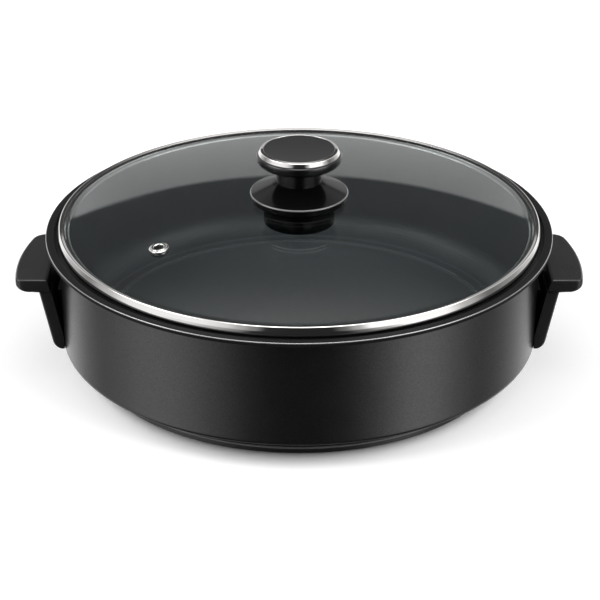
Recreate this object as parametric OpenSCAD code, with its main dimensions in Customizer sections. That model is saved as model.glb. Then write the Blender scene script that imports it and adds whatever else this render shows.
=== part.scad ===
// Round electric pan with a lift-off domed glass lid.
// Millimetres, +Z up, front towards -Y. The origin is the middle of the footprint, on the table.

/* [Pan] */
// Outer diameter of the pan's wall
body_d = 400; // [330:5:480]
// How far the rim stands out past the wall
rim_overhang = 10; // [8:0.5:14]
// Height of the rim above the table
rim_h = 116; // [96:1:160]
// Thickness of the cast wall
wall_t = 2.7; // [2.2:0.1:4]
// Thickness of the cast floor
floor_t = 3.5; // [3:0.1:5]
// Radius inside the pan, between wall and floor
inner_fillet = 19; // [10:1:24]
// Radius outside the pan, under its wall
outer_fillet = 5.5; // [3:0.5:8]
// Width of the flat rim
rim_w = 6.6; // [5:0.1:7.5]
// Thickness of the flat rim
rim_t = 2.5; // [2:0.1:3]
// Height of the rim's turned-down edge
rim_edge_h = 3.6; // [3:0.1:6]
// Depth of the lid's seat below the rim
seat_depth = 2.5; // [2:0.1:4]

/* [Base] */
// Air space between the table and the pan's floor
base_h = 20; // [19.5:0.5:30]
// How far the base is set in from the pan's wall
base_inset = 23.5; // [18:0.5:40]
// Height of the base above the table, which is what the feet show
foot_show = 1.2; // [0.8:0.1:3]
// Thickness of the base's floor and wall
base_t = 2.5; // [2:0.1:3]
// Width of the foot ring that stands out from the base's wall
base_lip_w = 2.5; // [1.5:0.1:4]
// Height of the foot ring
base_lip_h = 5.3; // [4:0.1:8]
// Diameter of a rubber foot
foot_d = 20; // [14:1:26]

/* [Heating] */
// Thickness of the cast plate under the pan's floor
plate_t = 3; // [2.5:0.1:3.5]
// Diameter of the sheathed element
element_d = 7; // [6:0.1:8]
// How far the element ring is set in from the base's edge
element_inset = 61.5; // [50:0.5:80]
// Distance between the two contact pins
pin_pitch = 36; // [32:1:44]
// Diameter of a contact pin
pin_d = 6; // [4:0.5:6.5]
// Bore for the temperature probe
probe_bore_d = 7; // [6:0.5:8]

/* [Handles] */
// How far a handle reaches past the pan's wall
handle_reach = 35; // [28:1:50]
// Top of the grip below the rim
grip_drop = 28.5; // [22:0.5:36]
// Thickness of the grip
grip_t = 11; // [9:0.5:14]
// Width of the grip along the pan
grip_w = 92; // [70:1:120]
// Thickness of the leg that carries the grip
leg_t = 10.3; // [9:0.1:13]
// Lean of the leg, in degrees from upright
leg_lean = 11.3; // [8:0.1:12]
// Height of the leg's foot above the table
leg_foot_h = 23; // [18:1:34]

/* [Lid] */
// Side clearance between the lid's band and its seat
lid_clearance = 2.8; // [1.5:0.1:4]
// Height of the band that shows above the rim
band_show = 7.6; // [6:0.1:10]
// Thickness of the band's steel
band_t = 0.8; // [0.6:0.1:1.2]
// Width of the band on top of the glass
band_w = 5; // [4:0.5:8]
// Thickness of the glass
glass_t = 4; // [3:0.1:5]
// Rise of the dome above the glass's flat edge
dome_rise = 20; // [14:1:40]
// Distance from the middle to the steam vent
vent_r = 137.5; // [90:0.5:150]
// Direction of the steam vent, in degrees
vent_angle = 216; // [0:1:359]
// Outer diameter of the vent's eyelet
vent_d = 15.8; // [13:0.1:20]

/* [Knob] */
// Diameter of the knob's head
head_d = 70.6; // [56:0.2:80]
// Height of the head, without its ring
head_h = 9; // [8:0.5:14]
// Diameter of the knob's neck
neck_d = 37.8; // [30:0.2:44]
// Length of the neck, which is the room for the fingers
neck_h = 15.7; // [14:0.1:26]
// Diameter of the skirt that keeps the fingers off the glass
skirt_d = 81.4; // [70:0.2:100]
// Height of the skirt's cone
skirt_cone_h = 9.4; // [6:0.2:14]
// Width of the bright ring on the head
ring_w = 4.3; // [3:0.1:6]
// Diameter of the collar under the glass
collar_d = 58.8; // [50:0.2:66]
// Depth of the collar under the glass
collar_h = 19.1; // [16:0.1:26]

/* [Fits] */
// Clearance round a shaft or a screw in its hole
fit = 0.05; // [0.02:0.01:0.1]
// Clearance between fixed pieces that lie close together
gap = 0.1; // [0.05:0.01:0.3]
// Clearance where a curved face meets another
curve_gap = 0.3; // [0.2:0.05:0.4]
// Clearance under the lid's band, where the lid can lift
lift_gap = 0.2; // [0.1:0.05:0.3]

/* [Hidden] */

$fn = 64;
round_fn = 180;
// Depth that a rib or a boss is sunk into the plate that it grows from
bury = 1;

// Radii of the pan
body_r = body_d / 2;
rim_r = body_r + rim_overhang;
seat_r = rim_r - rim_w;
pan_in_r = body_r - wall_t;
rim_edge_t = 2.2;
rim_round = 1.2;
small_round = 0.8;

// Heights of the pan
seat_z = rim_h - seat_depth;
seat_under_z = seat_z - wall_t;
floor_z = base_h + floor_t;
// The middle of the floor is a shallow well
well_step = 10.3;
well_drop = 0.8;
well_r = pan_in_r - inner_fillet - well_step;
well_z = floor_z - well_drop;

// Base
base_r = body_r - base_inset;
base_wall_r = base_r - base_lip_w;
base_floor_z = foot_show + base_t;
shield_rib_h = 0.7;
shield_t = 0.6;
shield_z = base_floor_z + shield_rib_h;
shield_r = base_wall_r - base_t - 6.5;

// Screws: shank and head, named by size
m5_r = 2.5;
m5_head_r = 4.6;
m4_r = 2;
m4_head_r = 3.8;
m4_head_h = 2.4;
m3_r = 1.5;
m3_head_r = 2.9;
m3_head_h = 1;
head_clearance = 0.5;

// Heating: a cast plate is bonded under the floor, and the element lies under it between two ribs
plate_z = base_h - plate_t;
plate_r = base_wall_r - base_t - 1;
rib_t = 2.5;
rib_h = 4;
element_r = base_r - element_inset;
element_z = plate_z - element_d / 2 - fit;
clamp_t = 2;
clamp_z = plate_z - element_d - gap - clamp_t;
clamp_reach = 13;
clamp_r = element_r + clamp_reach;
clamp_hole_r = 30;
clamp_boss_r = 6;
clamp_screw_r = element_r - 40;
clamp_screw_depth = 8;
cold_bend_r = 14;
cold_half_angle = asin((pin_pitch / 2 + cold_bend_r) / (element_r + cold_bend_r));
cold_y = (element_r + cold_bend_r) * cos(cold_half_angle);
swell = 0.02;

// The bosses that the base is screwed to
base_boss_inset = 26.5;
base_boss_circle = base_r - base_boss_inset;
base_boss_r = 7;
base_cup_r = 8;
base_cup_h = 3.5;
base_cup_z = base_floor_z + base_cup_h;
base_screw_depth = 8;
foot_pocket = 1;
foot_circle = base_wall_r - base_t - foot_d / 2 - 2;
foot_angles = [24, 156, 204, 336];

// Inlet at the back: socket wall, guard, pins, probe
socket_y = base_r - 8.5;
guard_t = 2.2;
guard_y = rim_r - 1;
guard_half_w = pin_pitch / 2 + 19;
guard_z = base_floor_z + 0.2;
guard_top_z = base_h - 0.2;
guard_back = 16;
inlet_boss_x = pin_pitch / 2 + 13;
inlet_boss_y = socket_y - 8;
inlet_boss_r = 5;
inlet_screw_depth = 7;
bead_r = 5;
bead_len = 12.2;
bead_y = socket_y + guard_t - bead_len;
pin_neck_r = pin_d / 2 - 0.5;
pin_y = socket_y + guard_t + 0.3;
pin_end_y = pin_y + 26.5;
probe_wall = 1.5;
probe_r = probe_bore_d / 2 + probe_wall;
probe_y = socket_y - 34;
probe_end_y = socket_y + guard_t + 1.8;
probe_block_w = 2 * probe_r + 5;
probe_block_y = probe_y - 12;
earth_t = 0.8;
earth_w = 8;
// The earth leaf lies between the shroud's floor and the probe's block
probe_block_z = guard_z + guard_t + earth_t;
earth_screw_y = probe_y - 6;
earth_screw_depth = 4;
earth_y = earth_screw_y - 4.5;
earth_end_y = socket_y + 28;

// Handles, drawn on the +X side
handle_r = body_r + handle_reach;
grip_top_z = rim_h - grip_drop;
grip_z = grip_top_z - grip_t;
grip_in_r = body_r + 7;
grip_front_r = 6;
grip_back_r = 12;
// The grip's outer edge is a shallow arc whose crest lies a little towards the front
grip_bow_r = 192;
grip_crest_y = -15;
grip_edge_r = 1.5;
grip_under_r = 6.5;
leg_w = grip_w - 3;
leg_corner_r = 3.5;
leg_foot_r = 7;
// The leg's outer face meets the grip's underside this far out from the wall
leg_out = 14.4;
bracket_t = 3.5;
bracket_w = 40;
bracket_h = 24;
bracket_z = 54 + (rim_h - 116) / 2;
bracket_screw_y = 11;
handle_screw_seat = 5.9;
handle_head_h = 2.2;

// Lid
lid_r = seat_r - lid_clearance;
band_bottom_z = seat_z + lift_gap;
band_top_z = rim_h + band_show;
gasket_t = 0.4;
gasket_side_t = 1.1;
glass_r = lid_r - band_t - gasket_side_t - 2 * fit;
glass_z = band_top_z - band_t - gasket_t - 2 * fit;
glass_land = 8.6;
dome_r = glass_r - glass_land;
dome_sphere_r = (dome_r * dome_r + dome_rise * dome_rise) / (2 * dome_rise);
dome_centre_z = glass_z + dome_rise - dome_sphere_r;
dome_steps = 24;
glass_round = 1.5;
band_lip_z = glass_z - glass_t - gasket_t - 2 * fit - band_t;
band_under_w = 11;
band_round = 1.5;
gasket_top_w = band_w + 0.6;
gasket_under_w = band_w + 1;

// Vent
vent_hole_r = 3.7;
vent_tube_t = 1;
grommet_flange_t = 0.5;
grommet_t = 1.3;
grommet_hole_r = vent_hole_r + vent_tube_t + grommet_t + 2 * fit;
grommet_flange_r = vent_d / 2 + 0.4;
vent_tilt = asin(vent_r / dome_sphere_r);

// Knob, from the glass up
apex_z = glass_z + dome_rise;
seal_t = 2;
seal_r = 20;
skirt_r = skirt_d / 2;
skirt_side_h = 5.3;
skirt_t = 3;
skirt_z = top_z(skirt_r - skirt_t) + curve_gap - gap;
skirt_edge_z = skirt_z + skirt_side_h;
skirt_top_z = skirt_edge_z + skirt_cone_h;
hub_r = seal_r + 1.5;
hub_z = apex_z + gap + seal_t;
neck_r = neck_d / 2;
head_z = skirt_top_z + neck_h;
head_top_z = head_z + head_h;
head_r = head_d / 2;
head_under_r = 6;
ring_r = head_r - 1.8;
cap_r = ring_r - ring_w;
ring_h = 4.4;
cap_h = 3.4;
cap_dish = 1;
insert_r = 4.5;
insert_depth = head_h - 1;

// Knob, from the glass down
under_apex_z = apex_z - glass_t;
collar_r = collar_d / 2;
collar_t = 3;
collar_top_t = 4;
collar_rim_z = under_z(collar_r) - curve_gap;
collar_hub_z = under_z(seal_r) - gap - seal_t;
collar_z = collar_rim_z - collar_h;
washer_t = 1.2;
washer_r = 11;
washer_z = collar_hub_z - collar_top_t - washer_t;
knob_head_h = 3.4;

// Points on an arc about c, from angle a0 to a1 in n steps
function arc(c, r, a0, a1, n = 6) =
    [for (i = [0:n]) let (a = a0 + (a1 - a0) * i / n) [c[0] + r * cos(a), c[1] + r * sin(a)]];

// Height of the dome's upper and under side at a distance from the middle
function top_z(r) = dome_centre_z + sqrt(dome_sphere_r * dome_sphere_r - r * r);
function under_z(r) = dome_centre_z + sqrt(pow(dome_sphere_r - glass_t, 2) - r * r);

// Where the dome's under side meets the flat under side of the glass's edge
under_rise = glass_z - glass_t - dome_centre_z;
under_r = sqrt(pow(dome_sphere_r - glass_t, 2) - under_rise * under_rise);

// A ring with a square section
module ring(r_in, r_out, z, h) {
    translate([0, 0, z])
        difference() {
            cylinder(r = r_out, h = h, $fn = round_fn);
            translate([0, 0, -1]) cylinder(r = r_in, h = h + 2, $fn = round_fn);
        }
}

// A cylinder whose axis points along +Y
module rod_y(r, y0, y1, x = 0, z = 0) {
    translate([x, y0, z]) rotate([-90, 0, 0]) cylinder(r = r, h = y1 - y0);
}

// A cylinder whose axis points along +X
module rod_x(r, x0, x1, y = 0, z = 0) {
    translate([x0, y, z]) rotate([0, 90, 0]) cylinder(r = r, h = x1 - x0);
}

// A box given by its lowest and highest corners
module block(low, high) {
    translate(low) cube([high[0] - low[0], high[1] - low[1], high[2] - low[2]]);
}

// Copies children at four places on a circle, between the axes
module four_round(circle_r) {
    for (i = [0:3]) rotate([0, 0, 45 + 90 * i]) translate([circle_r, 0, 0]) children();
}

// Copies children at the four feet
module at_feet() {
    for (a = foot_angles) rotate([0, 0, a]) translate([foot_circle, 0, 0]) children();
}

// Copies children at -x and +x
module both_sides(x) {
    for (s = [-1, 1]) translate([s * x, 0, 0]) children();
}

// Section of the pan: under side, wall, seat and rim, then back down inside
function pan_section() = concat(
    [[0, base_h]],
    arc([body_r - outer_fillet, base_h + outer_fillet], outer_fillet, -90, 0),
    [[body_r, seat_under_z - small_round], [body_r + small_round, seat_under_z]],
    arc([seat_r + rim_t - rim_round, seat_under_z + rim_round], rim_round, -90, 0),
    [[seat_r + rim_t, rim_h - rim_t], [rim_r - rim_edge_t, rim_h - rim_t]],
    [[rim_r - rim_edge_t, rim_h - rim_edge_h], [rim_r - small_round, rim_h - rim_edge_h]],
    [[rim_r, rim_h - rim_edge_h + small_round]],
    arc([rim_r - rim_round, rim_h - rim_round], rim_round, 0, 90),
    arc([seat_r + small_round, rim_h - small_round], small_round, 90, 180),
    [[seat_r, seat_z]],
    arc([pan_in_r + small_round, seat_z - small_round], small_round, 90, 180),
    arc([pan_in_r - inner_fillet, floor_z + inner_fillet], inner_fillet, 0, -90, 12),
    [[well_r + small_round, floor_z], [well_r, well_z], [0, well_z]]
);

module pan_body() {
    color([0.16, 0.16, 0.17])
        rotate_extrude($fn = round_fn) polygon(pan_section());
}

module element_ribs() {
    inner_r = element_r - element_d / 2 - gap;
    outer_r = element_r + element_d / 2 + gap;
    rib_z = plate_z - rib_h;
    exit_w = 2 * (element_r * sin(cold_half_angle) + 2);
    difference() {
        union() {
            ring(inner_r - rib_t, inner_r, rib_z, rib_h + bury);
            ring(outer_r, outer_r + rib_t, rib_z, rib_h + bury);
        }
        translate([-exit_w / 2, 0, 0]) cube([exit_w, body_r, plate_z]);
    }
}

// Plate with the ribs, the screws' bosses and the probe's block
module heater_plate() {
    inlet_boss_z = guard_z + guard_t;
    color([0.6, 0.6, 0.62])
        difference() {
            union() {
                translate([0, 0, plate_z]) cylinder(r = plate_r, h = plate_t, $fn = round_fn);
                element_ribs();
                four_round(clamp_screw_r)
                    translate([0, 0, clamp_z + clamp_t])
                        cylinder(r = clamp_boss_r, h = plate_z + bury - clamp_z - clamp_t);
                four_round(base_boss_circle)
                    translate([0, 0, base_cup_z])
                        cylinder(r = base_boss_r, h = plate_z + bury - base_cup_z);
                both_sides(inlet_boss_x)
                    translate([0, inlet_boss_y, inlet_boss_z])
                        cylinder(r = inlet_boss_r, h = plate_z + bury - inlet_boss_z);
                block([-probe_block_w / 2, probe_block_y, probe_block_z],
                      [probe_block_w / 2, socket_y - gap, plate_z + bury]);
            }
            block([-guard_half_w - gap, socket_y - gap, plate_z - 1],
                  [guard_half_w + gap, body_r, base_h + 1]);
            both_sides(pin_pitch / 2)
                block([-bead_r - 1, bead_y - 1, plate_z - 1], [bead_r + 1, body_r, base_h + 1]);
            four_round(clamp_screw_r)
                translate([0, 0, clamp_z + clamp_t - 1])
                    cylinder(r = m4_r + fit, h = clamp_screw_depth + 1);
            four_round(base_boss_circle)
                translate([0, 0, base_cup_z - 1])
                    cylinder(r = m4_r + fit, h = base_screw_depth + 1);
            both_sides(inlet_boss_x)
                translate([0, inlet_boss_y, inlet_boss_z - 1])
                    cylinder(r = m3_r + fit, h = inlet_screw_depth + 1);
            rod_y(probe_r + fit, probe_y, socket_y + 1, 0, element_z);
            translate([0, earth_screw_y, probe_block_z - 1])
                cylinder(r = m3_r + fit, h = 1 + earth_screw_depth);
        }
}

// One end of the element: the bend out of the ring and the straight to its pin, on the +X side
module cold_end() {
    translate([pin_pitch / 2 + cold_bend_r, cold_y, element_z])
        rotate([0, 0, 180])
            rotate_extrude(angle = 90 - cold_half_angle, $fn = round_fn)
                translate([cold_bend_r, 0]) circle(d = element_d);
    rod_y(element_d / 2, cold_y, bead_y, pin_pitch / 2, element_z);
    // A slight swell joins the bend to the ring
    rotate([0, 0, -cold_half_angle])
        translate([0, element_r, element_z]) sphere(r = element_d / 2 + swell);
}

module heating_element() {
    color([0.55, 0.54, 0.5])
        union() {
            translate([0, 0, element_z])
                rotate([0, 0, 90 + cold_half_angle])
                    rotate_extrude(angle = 360 - 2 * cold_half_angle, $fn = round_fn)
                        translate([element_r, 0]) circle(d = element_d);
            cold_end();
            mirror([1, 0, 0]) cold_end();
        }
}

module element_pins() {
    color([0.75, 0.74, 0.7])
        both_sides(pin_pitch / 2) {
            rod_y(pin_neck_r, bead_y, pin_y, 0, element_z);
            rod_y(pin_d / 2, pin_y, pin_end_y, 0, element_z);
            translate([0, pin_end_y, element_z]) sphere(d = pin_d);
        }
}

module ceramic_beads() {
    color([0.93, 0.92, 0.88])
        both_sides(pin_pitch / 2)
            difference() {
                rod_y(bead_r, bead_y, bead_y + bead_len, 0, element_z);
                rod_y(pin_neck_r + fit, bead_y - 1, bead_y + bead_len + 1, 0, element_z);
            }
}

module element_clamp() {
    color([0.78, 0.78, 0.8])
        difference() {
            ring(clamp_hole_r, clamp_r, clamp_z, clamp_t);
            four_round(clamp_screw_r)
                translate([0, 0, clamp_z - 1]) cylinder(r = m4_r + 2 * fit, h = clamp_t + 2);
            block([-probe_block_w / 2 - 1, probe_block_y - 1, clamp_z - 1],
                  [probe_block_w / 2 + 1, body_r, clamp_z + clamp_t + 1]);
        }
}

module clamp_screws() {
    color([0.7, 0.7, 0.72])
        four_round(clamp_screw_r) {
            translate([0, 0, clamp_z - m4_head_h]) cylinder(r = m4_head_r, h = m4_head_h);
            translate([0, 0, clamp_z]) cylinder(r = m4_r, h = clamp_t + clamp_screw_depth - gap);
        }
}

module heat_shield() {
    color([0.8, 0.8, 0.82])
        difference() {
            translate([0, 0, shield_z]) cylinder(r = shield_r, h = shield_t, $fn = round_fn);
            four_round(base_boss_circle)
                translate([0, 0, shield_z - 1]) cylinder(r = base_cup_r + 0.5, h = shield_t + 2);
            block([-guard_half_w - 1.5, socket_y - guard_back - 1.5, shield_z - 1],
                  [guard_half_w + 1.5, base_r, shield_z + shield_t + 1]);
        }
}

// Section of the base: floor, foot ring with a rounded top edge, and wall
function base_section() = concat(
    [[0, foot_show]],
    arc([base_r - small_round, foot_show + small_round], small_round, -90, 0, 3),
    arc([base_r - rim_round, foot_show + base_lip_h - rim_round], rim_round, 0, 90),
    [[base_wall_r, foot_show + base_lip_h], [base_wall_r, base_h - gap]],
    [[base_wall_r - base_t, base_h - gap], [base_wall_r - base_t, base_floor_z]],
    [[0, base_floor_z]]
);

// Slots through the base's floor, in rings of short arcs
module base_slots() {
    slot_w = 4;
    slot_angle = 18;
    slot_pitch = 30;
    for (slot_r = [95, 110])
        for (a = [0:slot_pitch:330])
            rotate([0, 0, a + (slot_r == 95 ? 0 : slot_pitch / 2)])
                translate([0, 0, foot_show - 1])
                    rotate_extrude(angle = slot_angle, $fn = round_fn)
                        translate([slot_r, 0]) square([slot_w, base_t + 2]);
}

module base_cover() {
    color([0.1, 0.1, 0.1])
        difference() {
            union() {
                rotate_extrude($fn = round_fn) polygon(base_section());
                ring(58, 61, base_floor_z - bury, shield_rib_h + bury);
                ring(132, 135, base_floor_z - bury, shield_rib_h + bury);
                four_round(base_boss_circle)
                    translate([0, 0, foot_show]) cylinder(r = base_cup_r, h = base_cup_z - foot_show);
            }
            four_round(base_boss_circle) {
                translate([0, 0, foot_show - 1])
                    cylinder(r = m4_head_r + head_clearance, h = base_cup_z - base_t - foot_show + 1);
                translate([0, 0, foot_show]) cylinder(r = m4_r + 2 * fit, h = base_h);
            }
            at_feet()
                translate([0, 0, foot_show - 1]) cylinder(d = foot_d + 4 * gap, h = foot_pocket + 1);
            block([-guard_half_w - head_clearance, socket_y - guard_back - 1, base_floor_z],
                  [guard_half_w + head_clearance, rim_r, base_h]);
            base_slots();
        }
}

module base_screws() {
    seat = base_cup_z - base_t;
    color([0.7, 0.7, 0.72])
        four_round(base_boss_circle) {
            translate([0, 0, seat - m4_head_h]) cylinder(r = m4_head_r, h = m4_head_h);
            translate([0, 0, seat]) cylinder(r = m4_r, h = base_t + base_screw_depth - gap);
        }
}

module feet() {
    foot_h = foot_show + foot_pocket;
    color([0.08, 0.08, 0.08])
        at_feet() {
            cylinder(d1 = foot_d - 1.6, d2 = foot_d, h = 0.8);
            translate([0, 0, 0.8]) cylinder(d = foot_d, h = foot_h - 0.8);
        }
}

module inlet_shroud() {
    mouth_round = 5;
    color([0.1, 0.1, 0.1])
        difference() {
            union() {
                block([-guard_half_w, socket_y - guard_back, guard_z],
                      [guard_half_w, guard_y, guard_z + guard_t]);
                block([-guard_half_w, socket_y, guard_z], [guard_half_w, socket_y + guard_t, guard_top_z]);
                both_sides(guard_half_w - guard_t / 2)
                    block([-guard_t / 2, socket_y, guard_z], [guard_t / 2, guard_y, guard_top_z]);
            }
            both_sides(pin_pitch / 2)
                rod_y(bead_r + gap, socket_y - 1, socket_y + guard_t + 1, 0, element_z);
            rod_y(probe_r + gap, socket_y - 1, socket_y + guard_t + 1, 0, element_z);
            block([-earth_w / 2 - gap, socket_y - 1, guard_z + guard_t],
                  [earth_w / 2 + gap, socket_y + guard_t + 1, guard_z + guard_t + earth_t + 4 * gap]);
            both_sides(inlet_boss_x)
                translate([0, inlet_boss_y, guard_z - 1]) {
                    cylinder(r = m3_head_r + gap, h = m3_head_h + 1 + gap);
                    cylinder(r = m3_r + 2 * fit, h = guard_t + 2);
                }
            rotate([90, 0, 90])
                translate([guard_y - mouth_round, guard_top_z - mouth_round, -guard_half_w - 1])
                    linear_extrude(height = 2 * guard_half_w + 2)
                        difference() {
                            square(mouth_round + 1);
                            circle(r = mouth_round);
                        }
        }
}

module inlet_screws() {
    color([0.7, 0.7, 0.72])
        both_sides(inlet_boss_x)
            translate([0, inlet_boss_y, guard_z + gap]) {
                cylinder(r = m3_head_r, h = m3_head_h);
                cylinder(r = m3_r, h = guard_t + inlet_screw_depth - 2 * gap);
            }
}

// Leaf that earths the plug, screwed under the plate's block for the probe
module earth_contact() {
    color([0.75, 0.74, 0.7])
        difference() {
            block([-earth_w / 2, earth_y, probe_block_z - earth_t],
                  [earth_w / 2, earth_end_y, probe_block_z]);
            translate([0, earth_screw_y, probe_block_z - earth_t - 1])
                cylinder(r = m3_r + 2 * fit, h = earth_t + 2);
        }
}

module earth_screw() {
    seat = probe_block_z - earth_t;
    color([0.7, 0.7, 0.72])
        translate([0, earth_screw_y, seat]) {
            translate([0, 0, -m3_head_h]) cylinder(r = m3_head_r, h = m3_head_h);
            cylinder(r = m3_r, h = earth_t + earth_screw_depth - gap);
        }
}

module probe_sleeve() {
    color([0.75, 0.75, 0.77])
        difference() {
            rod_y(probe_r, probe_y + gap, probe_end_y, 0, element_z);
            rod_y(probe_bore_d / 2, probe_y - 1, probe_end_y + 1, 0, element_z);
        }
}

// Plan of the grip: a bowed outer edge, a tight corner in front and a wide one at the back
function grip_plan() =
    let (bow_x = handle_r - grip_bow_r,
         front_y = grip_front_r - grip_w / 2 - grip_crest_y,
         back_y = grip_w / 2 - grip_back_r - grip_crest_y,
         front_a = asin(front_y / (grip_bow_r - grip_front_r)),
         back_a = asin(back_y / (grip_bow_r - grip_back_r)),
         front_x = bow_x + (grip_bow_r - grip_front_r) * cos(front_a),
         back_x = bow_x + (grip_bow_r - grip_back_r) * cos(back_a))
    concat(
        [[grip_in_r - 10, -grip_w / 2]],
        arc([front_x, grip_crest_y + front_y], grip_front_r, -90, front_a, 8),
        arc([bow_x, grip_crest_y], grip_bow_r, front_a, back_a, 12),
        arc([back_x, grip_crest_y + back_y], grip_back_r, back_a, 90, 8),
        [[grip_in_r - 10, grip_w / 2]]
    );

// Side view of the grip, with its heavily rounded lower edge
function grip_side() = concat(
    [[body_r + leg_out - leg_t, grip_z]],
    arc([handle_r - grip_under_r, grip_z + grip_under_r], grip_under_r, -90, 0, 8),
    arc([handle_r - grip_edge_r, grip_top_z - grip_edge_r], grip_edge_r, 0, 90, 4),
    [[grip_in_r, grip_top_z]]
);

// Side view that trims the leg: level with the grip's top at one end, rounded at its foot
function leg_side() =
    let (foot_x = body_r + leg_out - (grip_z - leg_foot_h) * tan(leg_lean))
    concat(
        [[body_r - 20, leg_foot_h]],
        arc([foot_x - leg_foot_r, leg_foot_h + leg_foot_r], leg_foot_r, -90, -leg_lean, 8),
        [[body_r + leg_out + 1, grip_z + 1], [body_r - 20, grip_z + 1]]
    );

// Turns a side view, drawn in X and Z, into a solid across the handle
module across(points, width) {
    rotate([90, 0, 0])
        translate([0, 0, -width / 2]) linear_extrude(height = width) polygon(points);
}

module leg() {
    slab_h = grip_z - leg_foot_h + 40;
    intersection() {
        translate([body_r + leg_out, 0, grip_z])
            rotate([0, leg_lean, 0])
                translate([-leg_t, -leg_w / 2, 20 - slab_h])
                    linear_extrude(height = slab_h)
                        union() {
                            square([leg_t - leg_corner_r, leg_w]);
                            translate([0, leg_corner_r]) square([leg_t, leg_w - 2 * leg_corner_r]);
                            for (y = [leg_corner_r, leg_w - leg_corner_r])
                                translate([leg_t - leg_corner_r, y]) circle(r = leg_corner_r);
                        }
        across(leg_side(), leg_w + 2);
    }
}

module handle_screw_holes() {
    seat_x = body_r + handle_screw_seat;
    for (y = [-bracket_screw_y, bracket_screw_y]) {
        rod_x(m5_r + 2 * fit, body_r, seat_x + 1, y, bracket_z);
        rod_x(m5_head_r + head_clearance, seat_x, seat_x + 20, y, bracket_z);
    }
}

module handle() {
    color([0.09, 0.09, 0.09])
        difference() {
            union() {
                intersection() {
                    across(grip_side(), grip_w);
                    linear_extrude(height = grip_top_z + 10) polygon(grip_plan());
                }
                leg();
            }
            translate([0, 0, -1]) cylinder(r = body_r + curve_gap, h = rim_h + 2, $fn = round_fn);
            block([body_r - 10, -bracket_w / 2 - gap, bracket_z - bracket_h / 2 - gap],
                  [body_r + bracket_t + gap, bracket_w / 2 + gap, bracket_z + bracket_h / 2 + gap]);
            handle_screw_holes();
        }
}

module handle_bracket() {
    color([0.6, 0.6, 0.62])
        difference() {
            block([body_r - 6, -bracket_w / 2, bracket_z - bracket_h / 2],
                  [body_r + bracket_t, bracket_w / 2, bracket_z + bracket_h / 2]);
            cylinder(r = body_r + gap, h = rim_h, $fn = round_fn);
            for (y = [-bracket_screw_y, bracket_screw_y])
                rod_x(m5_r + fit, body_r - 10, body_r + bracket_t + 1, y, bracket_z);
        }
}

module handle_screws() {
    seat_x = body_r + handle_screw_seat;
    color([0.7, 0.7, 0.72])
        for (y = [-bracket_screw_y, bracket_screw_y]) {
            rod_x(m5_r, body_r + 4 * gap, seat_x, y, bracket_z);
            rod_x(m5_head_r, seat_x, seat_x + handle_head_h, y, bracket_z);
        }
}

module at_left() {
    mirror([1, 0, 0]) children();
}

// Places children on the dome at the vent, with their own Z square to the glass
module at_vent() {
    rotate([0, 0, vent_angle])
        translate([vent_r, 0, top_z(vent_r)])
            rotate([0, vent_tilt, 0]) children();
}

// Section of the glass: dome, flat edge with rounded corners, under side
function glass_section() = concat(
    [for (i = [0:dome_steps]) let (r = dome_r * i / dome_steps) [r, top_z(r)]],
    arc([glass_r - glass_round, glass_z - glass_round], glass_round, 90, 0, 4),
    arc([glass_r - glass_round, glass_z - glass_t + glass_round], glass_round, 0, -90, 4),
    [for (i = [0:dome_steps]) let (r = under_r * (1 - i / dome_steps)) [r, under_z(r)]]
);

module lid_glass() {
    color([0.45, 0.52, 0.53, 0.5])
        difference() {
            rotate_extrude($fn = round_fn) polygon(glass_section());
            translate([0, 0, under_apex_z - 5]) cylinder(r = m5_r + 2, h = glass_t + 10);
            at_vent() translate([0, 0, -glass_t - 5]) cylinder(r = grommet_hole_r + fit, h = glass_t + 10);
        }
}

// Section of the band: outer wall, lip on the glass and longer lip under it
function band_section() = concat(
    [[lid_r - band_t, band_bottom_z], [lid_r, band_bottom_z]],
    arc([lid_r - band_round, band_top_z - band_round], band_round, 0, 90),
    [[lid_r - band_w, band_top_z], [lid_r - band_w, band_top_z - band_t]],
    arc([lid_r - band_round, band_top_z - band_round], band_round - band_t, 90, 0),
    [[lid_r - band_t, band_lip_z + band_t], [lid_r - band_under_w, band_lip_z + band_t]],
    [[lid_r - band_under_w, band_lip_z], [lid_r - band_t, band_lip_z]]
);

module lid_band() {
    color([0.85, 0.85, 0.86])
        rotate_extrude($fn = round_fn) polygon(band_section());
}

// Channel of silicone between the band and the edge of the glass
module lid_gasket() {
    out_r = lid_r - band_t - fit;
    in_r = glass_r + fit;
    top = glass_z + fit;
    bottom = glass_z - glass_t - fit;
    color([0.05, 0.05, 0.05])
        rotate_extrude($fn = round_fn)
            polygon([
                [lid_r - gasket_top_w, top], [in_r, top], [in_r, bottom], [lid_r - gasket_under_w, bottom],
                [lid_r - gasket_under_w, bottom - gasket_t], [out_r, bottom - gasket_t],
                [out_r, top + gasket_t - small_round], [out_r - small_round, top + gasket_t],
                [lid_r - gasket_top_w, top + gasket_t]
            ]);
}

module vent_eyelet() {
    tube_r = vent_hole_r + vent_tube_t;
    flange_z = grommet_flange_t + 2 * fit;
    under = -glass_t - 2 * grommet_flange_t - 3 * fit;
    lip_h = 2;
    color([0.85, 0.85, 0.86])
        at_vent()
            rotate_extrude()
                polygon(concat(
                    [[vent_hole_r, under - 0.8], [vent_d / 2 - 1, under - 0.8], [vent_d / 2 - 1, under]],
                    [[tube_r, under], [tube_r, flange_z], [vent_d / 2, flange_z]],
                    arc([vent_d / 2 - lip_h + 0.3, flange_z + 0.3], lip_h - 0.3, 0, 90),
                    arc([tube_r + 0.3, flange_z + 0.7], lip_h - 0.7, 90, 180)
                ));
}

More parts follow.
